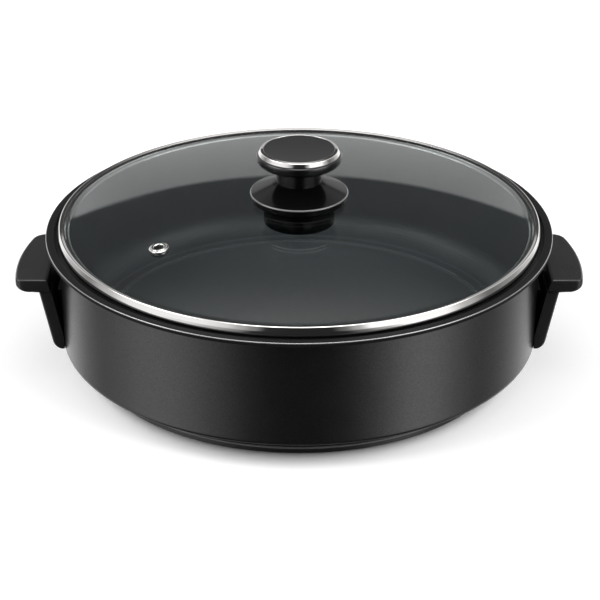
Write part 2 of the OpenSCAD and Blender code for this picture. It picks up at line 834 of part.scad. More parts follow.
// Silicone grommet that keeps the eyelet off the glass
module vent_gasket() {
    bore_r = vent_hole_r + vent_tube_t + fit;
    under_r = grommet_flange_r - 0.7;
    top = fit;
    bottom = -glass_t - fit;
    color([0.05, 0.05, 0.05])
        at_vent()
            rotate_extrude()
                polygon([
                    [bore_r, bottom - 2 * grommet_flange_t], [under_r, bottom - 2 * grommet_flange_t],
                    [under_r, bottom], [grommet_hole_r, bottom], [grommet_hole_r, top],
                    [grommet_flange_r, top], [grommet_flange_r, top + grommet_flange_t],
                    [bore_r, top + grommet_flange_t]
                ]);
}

module knob_skirt() {
    inner_r = skirt_r - skirt_t;
    color([0.1, 0.1, 0.1])
        rotate_extrude($fn = round_fn)
            polygon([
                [m5_r + fit, hub_z], [hub_r, hub_z], [hub_r, skirt_top_z - skirt_t - 1.5],
                [inner_r, skirt_edge_z - 1.2], [inner_r, skirt_z], [skirt_r - 0.7, skirt_z],
                [skirt_r, skirt_z + 0.7], [skirt_r, skirt_edge_z - 0.8], [skirt_r - 0.8, skirt_edge_z],
                [neck_r + 0.6, skirt_top_z], [m5_r + fit, skirt_top_z]
            ]);
}

module knob_neck() {
    color([0.1, 0.1, 0.1])
        translate([0, 0, skirt_top_z])
            difference() {
                cylinder(r = neck_r, h = neck_h);
                translate([0, 0, -1]) cylinder(r = m5_r + fit, h = neck_h + 2);
            }
}

module knob_head() {
    color([0.1, 0.1, 0.1])
        difference() {
            rotate_extrude($fn = round_fn)
                polygon(concat(
                    [[0, head_z]],
                    arc([head_r - head_under_r, head_z + head_under_r], head_under_r, -90, 0, 8),
                    arc([ring_r - 0.3, head_top_z - 2.1], 2.1, 0, 90, 6),
                    [[0, head_top_z]]
                ));
            translate([0, 0, head_z - 1]) cylinder(r = insert_r + fit, h = insert_depth + 1);
        }
}

module knob_ring() {
    color([0.85, 0.85, 0.86])
        rotate_extrude($fn = round_fn)
            polygon(concat(
                [[cap_r + fit, head_top_z], [ring_r - 0.2, head_top_z]],
                arc([ring_r - 3.2, head_top_z + 0.9], 3.2, 0, 80, 8),
                [[cap_r + fit, head_top_z + ring_h - 0.6]]
            ));
}

module knob_cap() {
    dish_steps = 12;
    color([0.08, 0.08, 0.08])
        rotate_extrude($fn = round_fn)
            polygon(concat(
                [[0, head_top_z], [cap_r, head_top_z], [cap_r, head_top_z + cap_h - 0.4]],
                [for (i = [0:dish_steps])
                    let (u = 1 - i / dish_steps)
                    [(cap_r - 0.4) * u, head_top_z + cap_h - cap_dish * (1 - u * u)]]
            ));
}

// Brass insert that the knob's screw turns into
module knob_insert() {
    color([0.8, 0.65, 0.3])
        translate([0, 0, head_z])
            difference() {
                cylinder(r = insert_r, h = insert_depth - gap);
                translate([0, 0, -1]) cylinder(r = m5_r + fit, h = insert_depth + 2);
            }
}

module knob_screw() {
    color([0.75, 0.75, 0.77]) {
        translate([0, 0, washer_z - knob_head_h]) cylinder(r = m5_head_r, h = knob_head_h);
        translate([0, 0, washer_z]) cylinder(r = m5_r, h = head_z + insert_depth - 1 - washer_z);
    }
}

// A flat seal with a hole for the knob's screw
module seal_disc(z) {
    color([0.05, 0.05, 0.05]) ring(m5_r + 2 * fit, seal_r, z, seal_t);
}

module knob_seal() {
    seal_disc(apex_z + gap);
}

module under_seal() {
    seal_disc(collar_hub_z);
}

// Black cup under the glass, seen through it below the knob
module under_collar() {
    color([0.06, 0.06, 0.06])
        rotate_extrude($fn = round_fn)
            polygon([
                [m5_r + 2 * fit, collar_hub_z - collar_top_t], [m5_r + 2 * fit, collar_hub_z],
                [hub_r - 1, collar_hub_z], [hub_r - 1, collar_rim_z], [collar_r, collar_rim_z],
                [collar_r, collar_z + 0.6], [collar_r - 0.6, collar_z], [collar_r - collar_t, collar_z],
                [collar_r - collar_t, collar_hub_z - collar_top_t]
            ]);
}

module knob_washer() {
    color([0.75, 0.75, 0.77]) ring(m5_r + fit, washer_r, washer_z, washer_t);
}

pan_body();
heater_plate();
heating_element();
element_pins();
ceramic_beads();
element_clamp();
clamp_screws();
heat_shield();
base_cover();
base_screws();
feet();
inlet_shroud();
inlet_screws();
earth_contact();
earth_screw();
probe_sleeve();
at_left() handle();  // left_handle
handle();  // right_handle
at_left() handle_bracket();  // left_handle_bracket
handle_bracket();  // right_handle_bracket
at_left() handle_screws();  // left_handle_screws
handle_screws();  // right_handle_screws
lid_glass();
lid_band();
lid_gasket();
vent_eyelet();
vent_gasket();
knob_skirt();
knob_neck();
knob_head();
knob_ring();
knob_cap();
knob_insert();
knob_screw();
knob_seal();
under_seal();
under_collar();
knob_washer();
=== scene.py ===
# %% [markdown]
# # A round electric pan with a lift-off glass lid
#
# This notebook dresses a packed construction model of the pan. The construction gives every piece its
# place and its size, so the first step only loads it. Each later step makes one finish or one piece, and
# says what it is on the real pan, how it could be made, and why it is made this way.

import bpy
import numpy as np
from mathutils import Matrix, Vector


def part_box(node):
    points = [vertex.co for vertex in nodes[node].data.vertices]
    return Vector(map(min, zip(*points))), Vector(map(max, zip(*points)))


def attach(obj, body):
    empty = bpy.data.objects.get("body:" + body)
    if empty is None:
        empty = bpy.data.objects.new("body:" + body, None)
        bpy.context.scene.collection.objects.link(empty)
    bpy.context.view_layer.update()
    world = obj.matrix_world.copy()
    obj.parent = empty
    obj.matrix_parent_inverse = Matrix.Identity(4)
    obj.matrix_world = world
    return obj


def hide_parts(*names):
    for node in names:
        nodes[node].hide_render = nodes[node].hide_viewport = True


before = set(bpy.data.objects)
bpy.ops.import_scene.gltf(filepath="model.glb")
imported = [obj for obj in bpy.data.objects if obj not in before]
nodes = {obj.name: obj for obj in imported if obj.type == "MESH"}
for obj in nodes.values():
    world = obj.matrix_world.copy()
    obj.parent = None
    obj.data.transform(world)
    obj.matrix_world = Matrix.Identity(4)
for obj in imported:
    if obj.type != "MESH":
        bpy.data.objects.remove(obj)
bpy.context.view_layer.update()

# %% [markdown]
# ## Sizes
#
# Blender works in metres here.

# %% Sizes taken from the construction
mm = 0.001

pan_low, pan_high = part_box("pan_body")
rim_r, rim_z, base_h = pan_high.x, pan_high.z, pan_low.z
band_low, band_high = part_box("lid_band")
band_r, band_bottom_z, band_top_z = band_high.x, band_low.z, band_high.z
glass_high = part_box("lid_glass")[1]
glass_r, apex_z = glass_high.x, glass_high.z
dome_rise = 20 * mm
glass_z = apex_z - dome_rise
glass_t = 4 * mm
body_r = rim_r - 10 * mm
wall_t, floor_t = 2.7 * mm, 3.5 * mm
inner_fillet, outer_fillet = 19 * mm, 5.5 * mm
rim_w, rim_t, rim_edge_h, rim_edge_t = 6.6 * mm, 2.5 * mm, 3.6 * mm, 2.2 * mm
seat_depth = 2.5 * mm
seat_r, seat_z = rim_r - rim_w, rim_z - seat_depth
pan_in_r, floor_z = body_r - wall_t, base_h + floor_t
well_drop = 0.8 * mm
well_r = pan_in_r - inner_fillet - 10.3 * mm
print(f"rim {rim_r:.4f} m, band {band_r:.4f} m, glass {glass_r:.4f} m, apex {apex_z:.4f} m")

# %% [markdown]
# ## The camera
#
# The photograph was taken from far away with a long lens, about 25 degrees above the rim. A camera has a
# place and a turn: the place is found from the distance and the elevation, and the turn only needs the
# angle by which the lens looks down.

# %% The camera
camera_distance = 8 * rim_r
camera_elevation = np.radians(24.60)
camera_pitch = np.radians(26.72)
camera_side = 0.7 * mm
sensor_w = 36.0
focal_px, picture_px = 2015.1, 600

camera_data = bpy.data.cameras.new("camera")
camera_data.sensor_width = sensor_w
camera_data.lens = sensor_w * focal_px / picture_px
camera = bpy.data.objects.new("camera", camera_data)
camera.location = (
    camera_side,
    -camera_distance * np.cos(camera_elevation),
    rim_z + camera_distance * np.sin(camera_elevation),
)
camera.rotation_euler = (np.pi / 2 - camera_pitch, 0, 0)
bpy.context.scene.collection.objects.link(camera)
bpy.context.scene.camera = camera
bpy.context.scene.view_settings.view_transform = "Standard"
print(f"lens {camera_data.lens:.1f} mm at {camera_distance:.3f} m")

# %% [markdown]
# ## Shader maths as Python
#
# A node tree is hard to read as a list of nodes and links. Here a socket is wrapped in a small class with
# the usual operators, so that `1 - mask` adds a Math node. Every other node comes from one method, which
# takes the node's type, its settings and its inputs.


# %% Shader maths
class Socket:
    """An output of a node tree, which adds Math nodes when it is used in an expression."""

    def __init__(self, tree, output):
        self.tree, self.output = tree, output

    def maths(self, operation, *others):
        """A Math node with this as its first value."""
        values = dict(enumerate((self, *others)))
        return add_node(self.tree, "ShaderNodeMath", {"operation": operation}, values)

    def reflected(self, operation, other):
        """A Math node with this as its second value."""
        return add_node(self.tree, "ShaderNodeMath", {"operation": operation}, {0: other, 1: self})

    def __add__(self, other):
        return self.maths("ADD", other)

    def __radd__(self, other):
        return self.reflected("ADD", other)

    def __sub__(self, other):
        return self.maths("SUBTRACT", other)

    def __rsub__(self, other):
        return self.reflected("SUBTRACT", other)

    def __mul__(self, other):
        return self.maths("MULTIPLY", other)

    def __rmul__(self, other):
        return self.reflected("MULTIPLY", other)

    def __pow__(self, other):
        return self.maths("POWER", other)

    def __rpow__(self, other):
        return self.reflected("POWER", other)

    def __lt__(self, other):
        return self.maths("LESS_THAN", other)

    def __gt__(self, other):
        return self.maths("GREATER_THAN", other)

    def step(self, low, high):
        """0 below low, 1 above high and a smooth rise between."""
        limits = {"Value": self, "From Min": low, "From Max": high}
        return add_node(self.tree, "ShaderNodeMapRange", {"interpolation_type": "SMOOTHSTEP"}, limits)

    def between(self, low, high, soft=1.0):
        """1 between low and high, 0 outside, with edges that are soft over that much to both sides."""
        return self.step(low - soft, low + soft) * (1 - self.step(high - soft, high + soft))

    def mix(self, low, high):
        """The colour low where this is 0, and high where it is 1."""
        colours = {"Factor": self, 6: low, 7: high}
        return add_node(self.tree, "ShaderNodeMix", {"data_type": "RGBA"}, colours, 2)


def add_node(tree, kind, settings=None, values=None, output=0):
    """Adds one node, sets its settings and then its inputs, and gives one of its outputs."""
    node = tree.nodes.new(kind)
    for name, setting in (settings or {}).items():
        setattr(node, name, setting)
    for name, value in (values or {}).items():
        if isinstance(value, Socket):
            tree.links.new(value.output, node.inputs[name])
        else:
            node.inputs[name].default_value = value
    return Socket(tree, node.outputs[output]) if node.outputs else None


print("shader maths ready")

# %% [markdown]
# ## Finishes
#
# A finish is a material with one shader. Its patterns read the piece's own coordinates in metres, so a
# fleck is as large on the wall as on the floor, and nothing has to be unwrapped. What is the same
# everywhere is written on the shader itself, and only what changes over the surface gets nodes.


# %% Finishes
class Finish:
    """A material in the making. shade() sets its surface, and the other methods give patterns on it."""

    def __init__(self, name):
        self.material = bpy.data.materials.new(name)
        self.material.use_nodes = True
        self.tree = self.material.node_tree
        self.tree.nodes.clear()
        self.where = self.node("ShaderNodeTexCoord", output="Object")

    def node(self, kind, settings=None, values=None, output=0):
        """A node of any kind in this material."""
        return add_node(self.tree, kind, settings, values, output)

    def noise(self, size, detail=2.0):
        """Soft noise from 0 to 1, with lumps of about that size in metres."""
        values = {"Vector": self.where, "Scale": 1 / size, "Detail": detail}
        return self.node("ShaderNodeTexNoise", values=values)

    def cells(self, size):
        """A grid of loose cells of that size in metres, each with a random colour."""
        values = {"Vector": self.where, "Scale": 1 / size}
        return self.node("ShaderNodeTexVoronoi", values=values, output="Color")

    def axis(self, name):
        """The X, Y or Z coordinate in the piece's own frame, in metres."""
        return self.node("ShaderNodeSeparateXYZ", values={"Vector": self.where}, output=name)

    def radius(self):
        """The distance from the pan's axis."""
        return (self.axis("X") ** 2 + self.axis("Y") ** 2) ** 0.5

    def bump(self, height, depth):
        """A normal that stands for a surface raised by height times depth metres."""
        return self.node("ShaderNodeBump", values={"Height": height, "Distance": depth}, output="Normal")

    def shade(self, **values):
        """Sets the Principled shader. An underscore in a name stands for a space."""
        named = {name.replace("_", " "): value for name, value in values.items()}
        shader = self.node("ShaderNodeBsdfPrincipled", values=named)
        self.surface(shader)
        return self.material

    def surface(self, shader):
        """Joins a shader to the material's output."""
        self.node("ShaderNodeOutputMaterial", values={"Surface": shader})


def grey(level, blue=0.0):
    """A neutral colour, a little bluer where blue is above 0."""
    return (level, level, level * (1 + blue), 1)


print("finishes ready")

# %% [markdown]
# ## The studio
#
# Dark glossy things show the studio more than their own colour. So the studio is drawn by direction: a
# bearing round the pan and an elevation above the horizon. In front it is dark, where the photographer
# stands. Soft panels are at both sides, the backdrop behind is pale up to a low edge, a wide soft light
# hangs overhead, and a small strong one right above it. A picture of a real studio could be used instead,
# but a few numbers are easier to change. The camera sees plain white, and so does the glass behind itself.
#
# Matt surfaces need less: for them the world is an even sky, a little stronger above than at its edge.

# %% The studio's levels
# Level of the light at each bearing, from behind (-180) by the left (-90), the front (0) and the right (90)
BEARINGS = [
    (-180, 0.50), (-170, 0.52), (-158, 1.10), (-140, 1.05), (-124, 0.52), (-109, 0.25), (-95, 0.54),
    (-80, 0.95), (-66, 1.02), (-54, 0.80), (-42, 0.46), (-32, 0.24), (-23, 0.025), (0, 0.02), (23, 0.02),
    (32, 0.14), (42, 0.44), (54, 1.32), (67, 1.16), (80, 0.50), (94, 0.16), (108, 0.28), (126, 0.60),
    (140, 1.05), (158, 1.10), (170, 0.52), (180, 0.50),
]
# Levels of the ceiling behind, of the light overhead, of the lamp above that, and of the ground
ceiling_dark, ceiling_light, zenith_light, ground_level = 0.06, 1.0, 4.0, 0.04
# Elevations in degrees over which the light overhead, the lamp above it and the ring above the ground rise
overhead_rise, zenith_rise, ground_rise = (38, 60), (70, 76), (-62, -36)
# How far that light hangs down at the sides, from and to which bearings, and what a second mirror shows
overhead_drop, drop_from, drop_to, second_share = 12, (8, 24), (90, 150), 0.2
# How much the front narrows above the horizon, the bearings over which that fades, and the elevations
front_narrowing, front_fade, horizon_rise = 0.6, (30, 70), (-14, 2)
# The backdrop's upper edge: its elevation behind, its rise with the bearing squared, where it fades
backdrop_edge, backdrop_bow, backdrop_fade, edge_soft = 17.2, 0.0095, (19, 32), 0.6
# Bearing and elevation in degrees, width and height in metres, and the radiance of each soft box
SOFT_BOXES = {"box_left": (-82, 42, 2.0, 1.1, 4.6), "box_right": (68, 42, 2.0, 1.1, 4.6)}
# Their distance in metres, and the level of their faces in a first reflection
box_distance, box_glare = 2.4, 4.0
# The sky for matt surfaces: its levels at the horizon and above, and the elevations between
sky_low, sky_high, sky_rise = 0.25, 0.55, (0, 80)
print(len(BEARINGS), "bearings,", len(SOFT_BOXES), "soft boxes")

# %% [markdown]
# ## The studio as a function
#
# A world shader knows only the direction that it is asked for. So the bearing and the elevation are worked
# out from it first, and then the parts are laid over each other, as one would paint a backdrop: the ring
# first, then what hides it.


# %% The studio by direction
def ring_of_light(bearing, turned_by, elevation):
    """The level at a bearing: the first level plus a smooth step for each pair of neighbours. Above the
    horizon the bearings in front count up to 1.6 times, so that the dark front is narrower there."""
    front = 1 - turned_by.step(*front_fade)
    counted = bearing * (1 + front_narrowing * elevation.step(*horizon_rise) * front)
    ring = BEARINGS[0][1]
    for (left, low), (right, high) in zip(BEARINGS, BEARINGS[1:]):
        ring = counted.step(left, right) * (high - low) + ring
    return ring


def studio_level(bearing, elevation, single, first):
    """The ring, then over it the dark ceiling above the backdrop's edge, the light overhead and the ground.
    The lamp right above and the faces of the soft boxes are added for first reflections only."""
    turned_by = bearing.maths("ABSOLUTE")
    off_back = 180 - turned_by
    edge = off_back ** 2 * backdrop_bow + backdrop_edge
    above_edge = (elevation - edge).step(-edge_soft, edge_soft) * (1 - off_back.step(*backdrop_fade))
    lowered = turned_by.step(*drop_from) * (1 - turned_by.step(*drop_to)) * overhead_drop
    overhead = (elevation + lowered).step(*overhead_rise) * (second_share + (1 - second_share) * single)
    above_ground = elevation.step(*ground_rise)
    level = ring_of_light(bearing, turned_by, elevation) * (1 - above_edge) + above_edge * ceiling_dark
    level = level * (1 - overhead) + overhead * ceiling_light
    level = level * above_ground + (1 - above_ground) * ground_level
    level = level + first * elevation.step(*zenith_rise) * zenith_light
    for at, up, width, height, _ in SOFT_BOXES.values():
        half_turn, half_lift = (
            np.degrees(np.arctan(0.5 * size / box_distance)) for size in (width, height)
        )
        across = bearing.between(at - half_turn, at + half_turn)
        level = level + first * across * elevation.between(up - half_lift, up + half_lift) * box_glare
    return level


def draw_studio():
    """World light as a function of direction (x, y, z): the elevation is arcsin z, and the bearing is the
    angle of (x, -y). The camera, and rays straight through glass, see 1 instead."""
    world = bpy.data.worlds.new("studio")
    bpy.context.scene.world = world
    world.use_nodes = True
    tree = world.node_tree
    tree.nodes.clear()
    way = add_node(tree, "ShaderNodeTexCoord", output="Generated")
    x, y, z = (add_node(tree, "ShaderNodeSeparateXYZ", values={"Vector": way}, output=n) for n in "XYZ")
    camera_ray, through, diffuse_ray = (
        add_node(tree, "ShaderNodeLightPath", output=f"Is {n} Ray")
        for n in ("Camera", "Transmission", "Diffuse")
    )
    bounces, passes = (
        add_node(tree, "ShaderNodeLightPath", output=f"{n} Depth") for n in ("Glossy", "Transmission")
    )
    elevation = z.maths("ARCSINE") * np.degrees(1)
    bearing = x.maths("ARCTAN2", -1 * y) * np.degrees(1)
    single = bounces < 1.5
    level = studio_level(bearing, elevation, single, single * (passes < 0.5))
    sky = elevation.step(*sky_rise) * (sky_high - sky_low) + sky_low
    level = level * (1 - diffuse_ray) + diffuse_ray * sky
    seen = camera_ray.maths("MAXIMUM", through * (bounces < 0.5))
    strength = seen + (1 - seen) * level
    light = add_node(tree, "ShaderNodeBackground", values={"Strength": strength, "Color": (1, 1, 1, 1)})
    add_node(tree, "ShaderNodeOutputWorld", values={"Surface": light})


draw_studio()
print("studio drawn")

# %% [markdown]
# ## Two soft boxes
#
# The lamps give the light and the shadows. They are hidden from mirrors, because a mirror of a mirror
# would show their hard outlines all over the lid. The studio shows their faces instead, once and soft.


# %% Two soft boxes
def hang_box(name, bearing, elevation, width, height, radiance):
    """An area lamp that faces the pan. Its power in watts is pi x area x radiance."""
    lamp = bpy.data.lights.new(name, "AREA")
    lamp.shape, lamp.size, lamp.size_y = "RECTANGLE", width, height
    lamp.energy = np.pi * width * height * radiance
    box = bpy.data.objects.new(name, lamp)
    turn, lift = np.radians(bearing), np.radians(elevation)
    way = np.array([np.cos(lift) * np.sin(turn), -np.cos(lift) * np.cos(turn), np.sin(lift)])
    box.location = way * box_distance
    box.rotation_euler = (np.pi / 2 - lift, 0, turn)
    box.visible_camera = box.visible_glossy = False
    bpy.context.scene.collection.objects.link(box)
    print(f"{name}: {lamp.energy:.0f} W")


for name, values in SOFT_BOXES.items():
    hang_box(name, *values)

# %% [markdown]
# ## The floor
#
# The floor is white card. It takes the pan's shadow as a diffuse surface, and a little light of its own
# brings the lit card up to the white of the backdrop, for the camera and for what is seen through glass.
# Far away, where the lamps don't reach, that light grows. Mirrors see the studio through the floor, so that
# the low front of the pan shows the same dark front as the rest.

# %% The floor
floor_half = 4.0
card_tone, card_lift, far_lift = 0.90, 0.20, 0.45
# Distances from the axis over which the card's own light rises: from under the pan's edge, and far away
near_rise, far_rise = (172 * mm, 186 * mm), (0.5, 2.0)


def make_floor():
    """A flat square about the origin. Its own light = strength x seen, where seen is 1 for camera rays."""
    corners = np.array([(-1, -1, 0), (1, -1, 0), (1, 1, 0), (-1, 1, 0)]) * floor_half
    mesh = bpy.data.meshes.new("floor")
    mesh.from_pydata(corners.tolist(), [], [(0, 1, 2, 3)])
    floor = bpy.data.objects.new("floor", mesh)
    bpy.context.scene.collection.objects.link(floor)
    card = Finish("white_card")
    camera_ray, glossy_ray, through = (
        card.node("ShaderNodeLightPath", output=n)
        for n in ("Is Camera Ray", "Is Glossy Ray", "Is Transmission Ray")
    )
    fibres = card.noise(0.6 * mm)
    diffuse = card.node(
        "ShaderNodeBsdfDiffuse",
        values={"Color": fibres.mix(grey(card_tone - 0.01), grey(card_tone + 0.01))},
    )
    seen = camera_ray.maths("MAXIMUM", through)
    own_light = card.radius().step(*near_rise) * card_lift + card.radius().step(*far_rise) * far_lift
    lift = card.node("ShaderNodeEmission", values={"Strength": seen * own_light})
    lit = card.node("ShaderNodeAddShader", values={0: diffuse, 1: lift})
    clear = card.node("ShaderNodeBsdfTransparent")
    card.surface(card.node("ShaderNodeMixShader", values={0: glossy_ray, 1: lit, 2: clear}))
    mesh.materials.append(card.material)


make_floor()
print("floor", 2 * floor_half, "m square")

# %% [markdown]
# ## The coats of the pan
#
# The wall carries a baked coat with fine metal flecks. From a step away it reads as a soft charcoal sheen
# with a grain at the edge of sight. A plain grey would look like plastic, so two things are made: cells as
# small as the flecks, each with its own brightness, and a very shallow orange-peel bump. The rim is matt,
# with a painted highlight along its outer edge. The inside has a soft black non-stick coat with painted
# light.


# %% The coats of the pan
def charcoal_coat():
    """Tone = 0.45 x flecks + 0.4 x fine grain + 0.15 x slow cloud, between a dark and a middle grey."""
    coat = Finish("charcoal_coat")
    fleck = coat.cells(0.5 * mm).step(0.1, 0.9)
    grain = coat.noise(0.7 * mm, 4.0)
    cloud = coat.noise(18 * mm)
    tone = (fleck * 0.45 + grain * 0.4 + cloud * 0.15).mix(grey(0.052, 0.03), grey(0.108, 0.02))
    return coat.shade(
        Base_Color=tone,
        Metallic=0.98,
        Roughness=0.33 + cloud * 0.05 - fleck * 0.04,
        Normal=coat.bump(grain * 0.6 + fleck * 0.4, 0.03 * mm),
        Coat_Weight=0.3,
        Coat_Roughness=0.22,
    )


def rim_coat():
    """The rim is matt black, without flecks. Its outer rounding is coloured pale and partly metallic: a
    painted highlight line, which as metal also reflects real light.
    """
    coat = Finish("rim_coat")
    cloud = coat.noise(25 * mm)
    # Painted highlight: the outer rounding gets a pale, partly metallic colour that draws a bright line
    outermost = coat.radius().step(rim_r - 0.6 * mm, rim_r - 0.35 * mm)
    edge = outermost * coat.axis("Z").step(rim_z - 0.9 * mm, rim_z - 0.5 * mm)
    return coat.shade(
        Base_Color=edge.mix(cloud.mix(grey(0.006, 0.02), grey(0.009, 0.02)), grey(0.36)),
        Metallic=edge * 0.8,
        Roughness=0.32 + coat.noise(3 * mm) * 0.06 - edge * 0.12,
        Normal=coat.bump(coat.noise(0.9 * mm, 3.0), 0.01 * mm),
        Specular_IOR_Level=0.06,
    )


def non_stick():
    """Inside: a matt black coat with faint speckles and turning marks. Its colour is painted paler towards
    the side, as painted light against the shade that falls there, and paler in two rings where the floor
    dips and where it rises, as painted highlights. The turning marks are sin(2 pi r / pitch)."""
    coat = Finish("non_stick")
    radius, pitch = coat.radius(), 1.6 * mm
    speck = coat.cells(1.1 * mm).step(0.86, 0.98)
    marks = (radius * (2 * np.pi / pitch)).maths("SINE")
    # Painted highlights: two rings are coloured lighter where the floor dips and rises, and raised a little
    # by the bump
    painted_highlight_rings = sum(
        radius.between(ring_r - 1.05 * mm, ring_r + 1.05 * mm, 0.75 * mm)
        for ring_r in (well_r - 2 * mm, pan_in_r - inner_fillet - 1 * mm)
    )
    # Painted light: the coat is coloured paler from the middle towards the side, against the shade that
    # falls there
    side = radius.step(50 * mm, 150 * mm)
    tone = speck.mix(side.mix(grey(0.019, 0.08), grey(0.046, 0.08)), grey(0.068, 0.08))
    return coat.shade(
        Base_Color=painted_highlight_rings.mix(tone, grey(0.085, 0.08)),
        Roughness=0.42 + coat.noise(6 * mm) * 0.08,
        Normal=coat.bump(marks * 0.25 + coat.noise(1.2 * mm, 3.0) + painted_highlight_rings, 0.02 * mm),
        Specular_IOR_Level=0.4,
    )


def cast_aluminium():
    """Bare casting, with the grain that a blasted mould leaves."""
    metal = Finish("cast_aluminium")
    grain = metal.noise(0.7 * mm, 4.0)
    cloud = metal.noise(22 * mm)
    return metal.shade(
        Base_Color=(grain * 0.5 + cloud * 0.5).mix(grey(0.42), grey(0.62)),
        Metallic=1.0,
        Roughness=0.46 + grain * 0.14,
        Normal=metal.bump(grain, 0.08 * mm),
    )


coat_charcoal, coat_rim = charcoal_coat(), rim_coat()
coat_inside, cast_metal = non_stick(), cast_aluminium()
print("pan coats:", coat_charcoal.name, coat_rim.name, coat_inside.name, cast_metal.name)

# %% [markdown]
# ## Metals
#
# The band, the knob's ring and the vent's eyelet are polished steel or chrome. Polished metal has almost
# no pattern, but never none: fine rubbing lines change its roughness a little, and a slow waviness bends
# long reflections. The screws are zinc plated, the element is oxidised, the pins are nickel.


# %% Metals
def polished(name, tone, roughness, wave=0.004):
    """Bright metal with a slow waviness and faint rubbing marks."""
    metal = Finish(name)
    rub = metal.noise(0.5 * mm, 4.0)
    slow = metal.noise(14 * mm, 1.0)
    return metal.shade(
        Base_Color=slow.mix(tuple(0.97 * c for c in tone[:3]) + (1,), tone),
        Metallic=1.0,
        Roughness=roughness + rub * 0.05,
        Normal=metal.bump(slow + rub * 0.02, wave * mm),
    )


def plated(name, low, high, roughness, grain_size=0.8):
    """Dull metal whose colour drifts between two tones."""
    metal = Finish(name)
    cloud, grain = metal.noise(5 * mm, 3.0), metal.noise(grain_size * mm, 4.0)
    return metal.shade(
        Base_Color=cloud.mix(low, high),
        Metallic=1.0,
        Roughness=roughness + grain * 0.12,
        Normal=metal.bump(grain, 0.01 * mm),
    )


chrome = polished("polished_chrome", (0.86, 0.845, 0.83, 1), 0.05)
steel = polished("stainless_steel", (0.80, 0.79, 0.775, 1), 0.09)
bright_sheet = plated("aluminised_sheet", grey(0.62), grey(0.74), 0.30, 1.5)
zinc = plated("zinc_plate", (0.50, 0.51, 0.52, 1), (0.62, 0.63, 0.66, 1), 0.26)
sheath = plated("oxidised_sheath", (0.20, 0.17, 0.14, 1), (0.36, 0.33, 0.30, 1), 0.42)
nickel = plated("nickel_plate", (0.66, 0.63, 0.57, 1), (0.76, 0.73, 0.67, 1), 0.18)
brass = plated("turned_brass", (0.62, 0.45, 0.18, 1), (0.74, 0.56, 0.26, 1), 0.24)
print("metals:", chrome.name, steel.name, zinc.name, sheath.name)

# %% [markdown]
# ## Plastics, rubber and ceramic
#
# Handles and knob are pressed from black phenolic. Such parts come out of a polished mould with a low
# satin gloss and a faint flow pattern. The base is moulded too, but spark-eroded moulds leave a fine
# texture on it. Silicone and rubber are softer in gloss.


# %% Plastics, rubber and ceramic
def moulded(name, tone, roughness, texture_size, texture_depth):
    """Black moulded stuff: a faint flow of tone and gloss, and a fine texture."""
    stuff = Finish(name)
    flow = stuff.noise(30 * mm, 2.0)
    texture = stuff.noise(texture_size * mm, 4.0)
    return stuff.shade(
        Base_Color=flow.mix(grey(tone * 0.85, 0.03), grey(tone * 1.15, 0.03)),
        Roughness=roughness + flow * 0.05 + texture * 0.04,
        Normal=stuff.bump(texture, texture_depth * mm),
    )


phenolic = moulded("phenolic", 0.013, 0.24, 0.9, 0.010)
knob_plastic = moulded("knob_phenolic", 0.002, 0.10, 0.9, 0.002)
cap_plastic = moulded("knob_cap", 0.011, 0.34, 0.5, 0.012)


# The painted highlight line on the upper edge of the base's lip: heights over which it rises and fades, and
# its radius
painted_line_from, painted_line_to, painted_line_r = (4.9 * mm, 5.5 * mm), (6.6 * mm, 6.9 * mm), 175 * mm


def base_moulding():
    """The base is textured, and the upper edge of its lip is coloured pale as a painted highlight line."""
    stuff = Finish("base_moulding")
    texture, height = stuff.noise(0.7 * mm, 4.0), stuff.axis("Z")
    lip_edge = height.step(*painted_line_from) * (1 - height.step(*painted_line_to))
    edge = lip_edge * stuff.radius().step(painted_line_r, painted_line_r + 0.6 * mm)
    return stuff.shade(
        Base_Color=edge.mix(grey(0.014, 0.03), grey(0.16, 0.03)),
        Roughness=0.32 + texture * 0.06 - edge * 0.12,
        Normal=stuff.bump(texture, 0.02 * mm),
    )


base_plastic = base_moulding()
silicone = moulded("black_silicone", 0.008, 0.46, 1.0, 0.01)
rubber = moulded("black_rubber", 0.022, 0.62, 0.5, 0.03)
ceramic = moulded("steatite", 0.80, 0.45, 0.6, 0.02)
print("moulded finishes:", phenolic.name, knob_plastic.name, base_plastic.name, ceramic.name)

# %% [markdown]
# ## Glass
#
# The lid is tempered glass, 4 mm thick and slightly green. It is made as a closed shell with two faces,
# so that it bends and mirrors light as real glass does. Lamps would cast a full shadow through such a
# shell, so for shadow rays it turns into a clear tint.


# %% Glass
glass_tint, shadow_tint = (0.86, 0.905, 0.90, 1), (0.74, 0.79, 0.785, 1)


def tempered_glass():
    """Clear glass with a slow swirl in its surface. Shadow rays pass through a plain tint instead."""
    glass = Finish("tempered_glass")
    swirl = glass.noise(40 * mm, 1.0)
    clear = glass.node("ShaderNodeBsdfTransparent", values={"Color": shadow_tint})
    body = glass.node(
        "ShaderNodeBsdfPrincipled",
        values={
            "Base Color": glass_tint,
            "Roughness": 0.0,
            "IOR": 1.5,
            "Transmission Weight": 1.0,
            "Normal": glass.bump(swirl, 0.02 * mm),
        },
    )
    shadow_ray = glass.node("ShaderNodeLightPath", output="Is Shadow Ray")
    glass.surface(glass.node("ShaderNodeMixShader", values={0: shadow_ray, 1: body, 2: clear}))
    return glass.material


glass = tempered_glass()
print("glass:", glass.name)

# %% [markdown]
# ## Turned shapes
#
# Almost every piece of the pan is turned: a section swept about the middle axis. A section is a list of
# corners, each with the radius that rounds it. An edge without any radius would look like paper, because
# nothing real is that sharp, so even small edges get one.


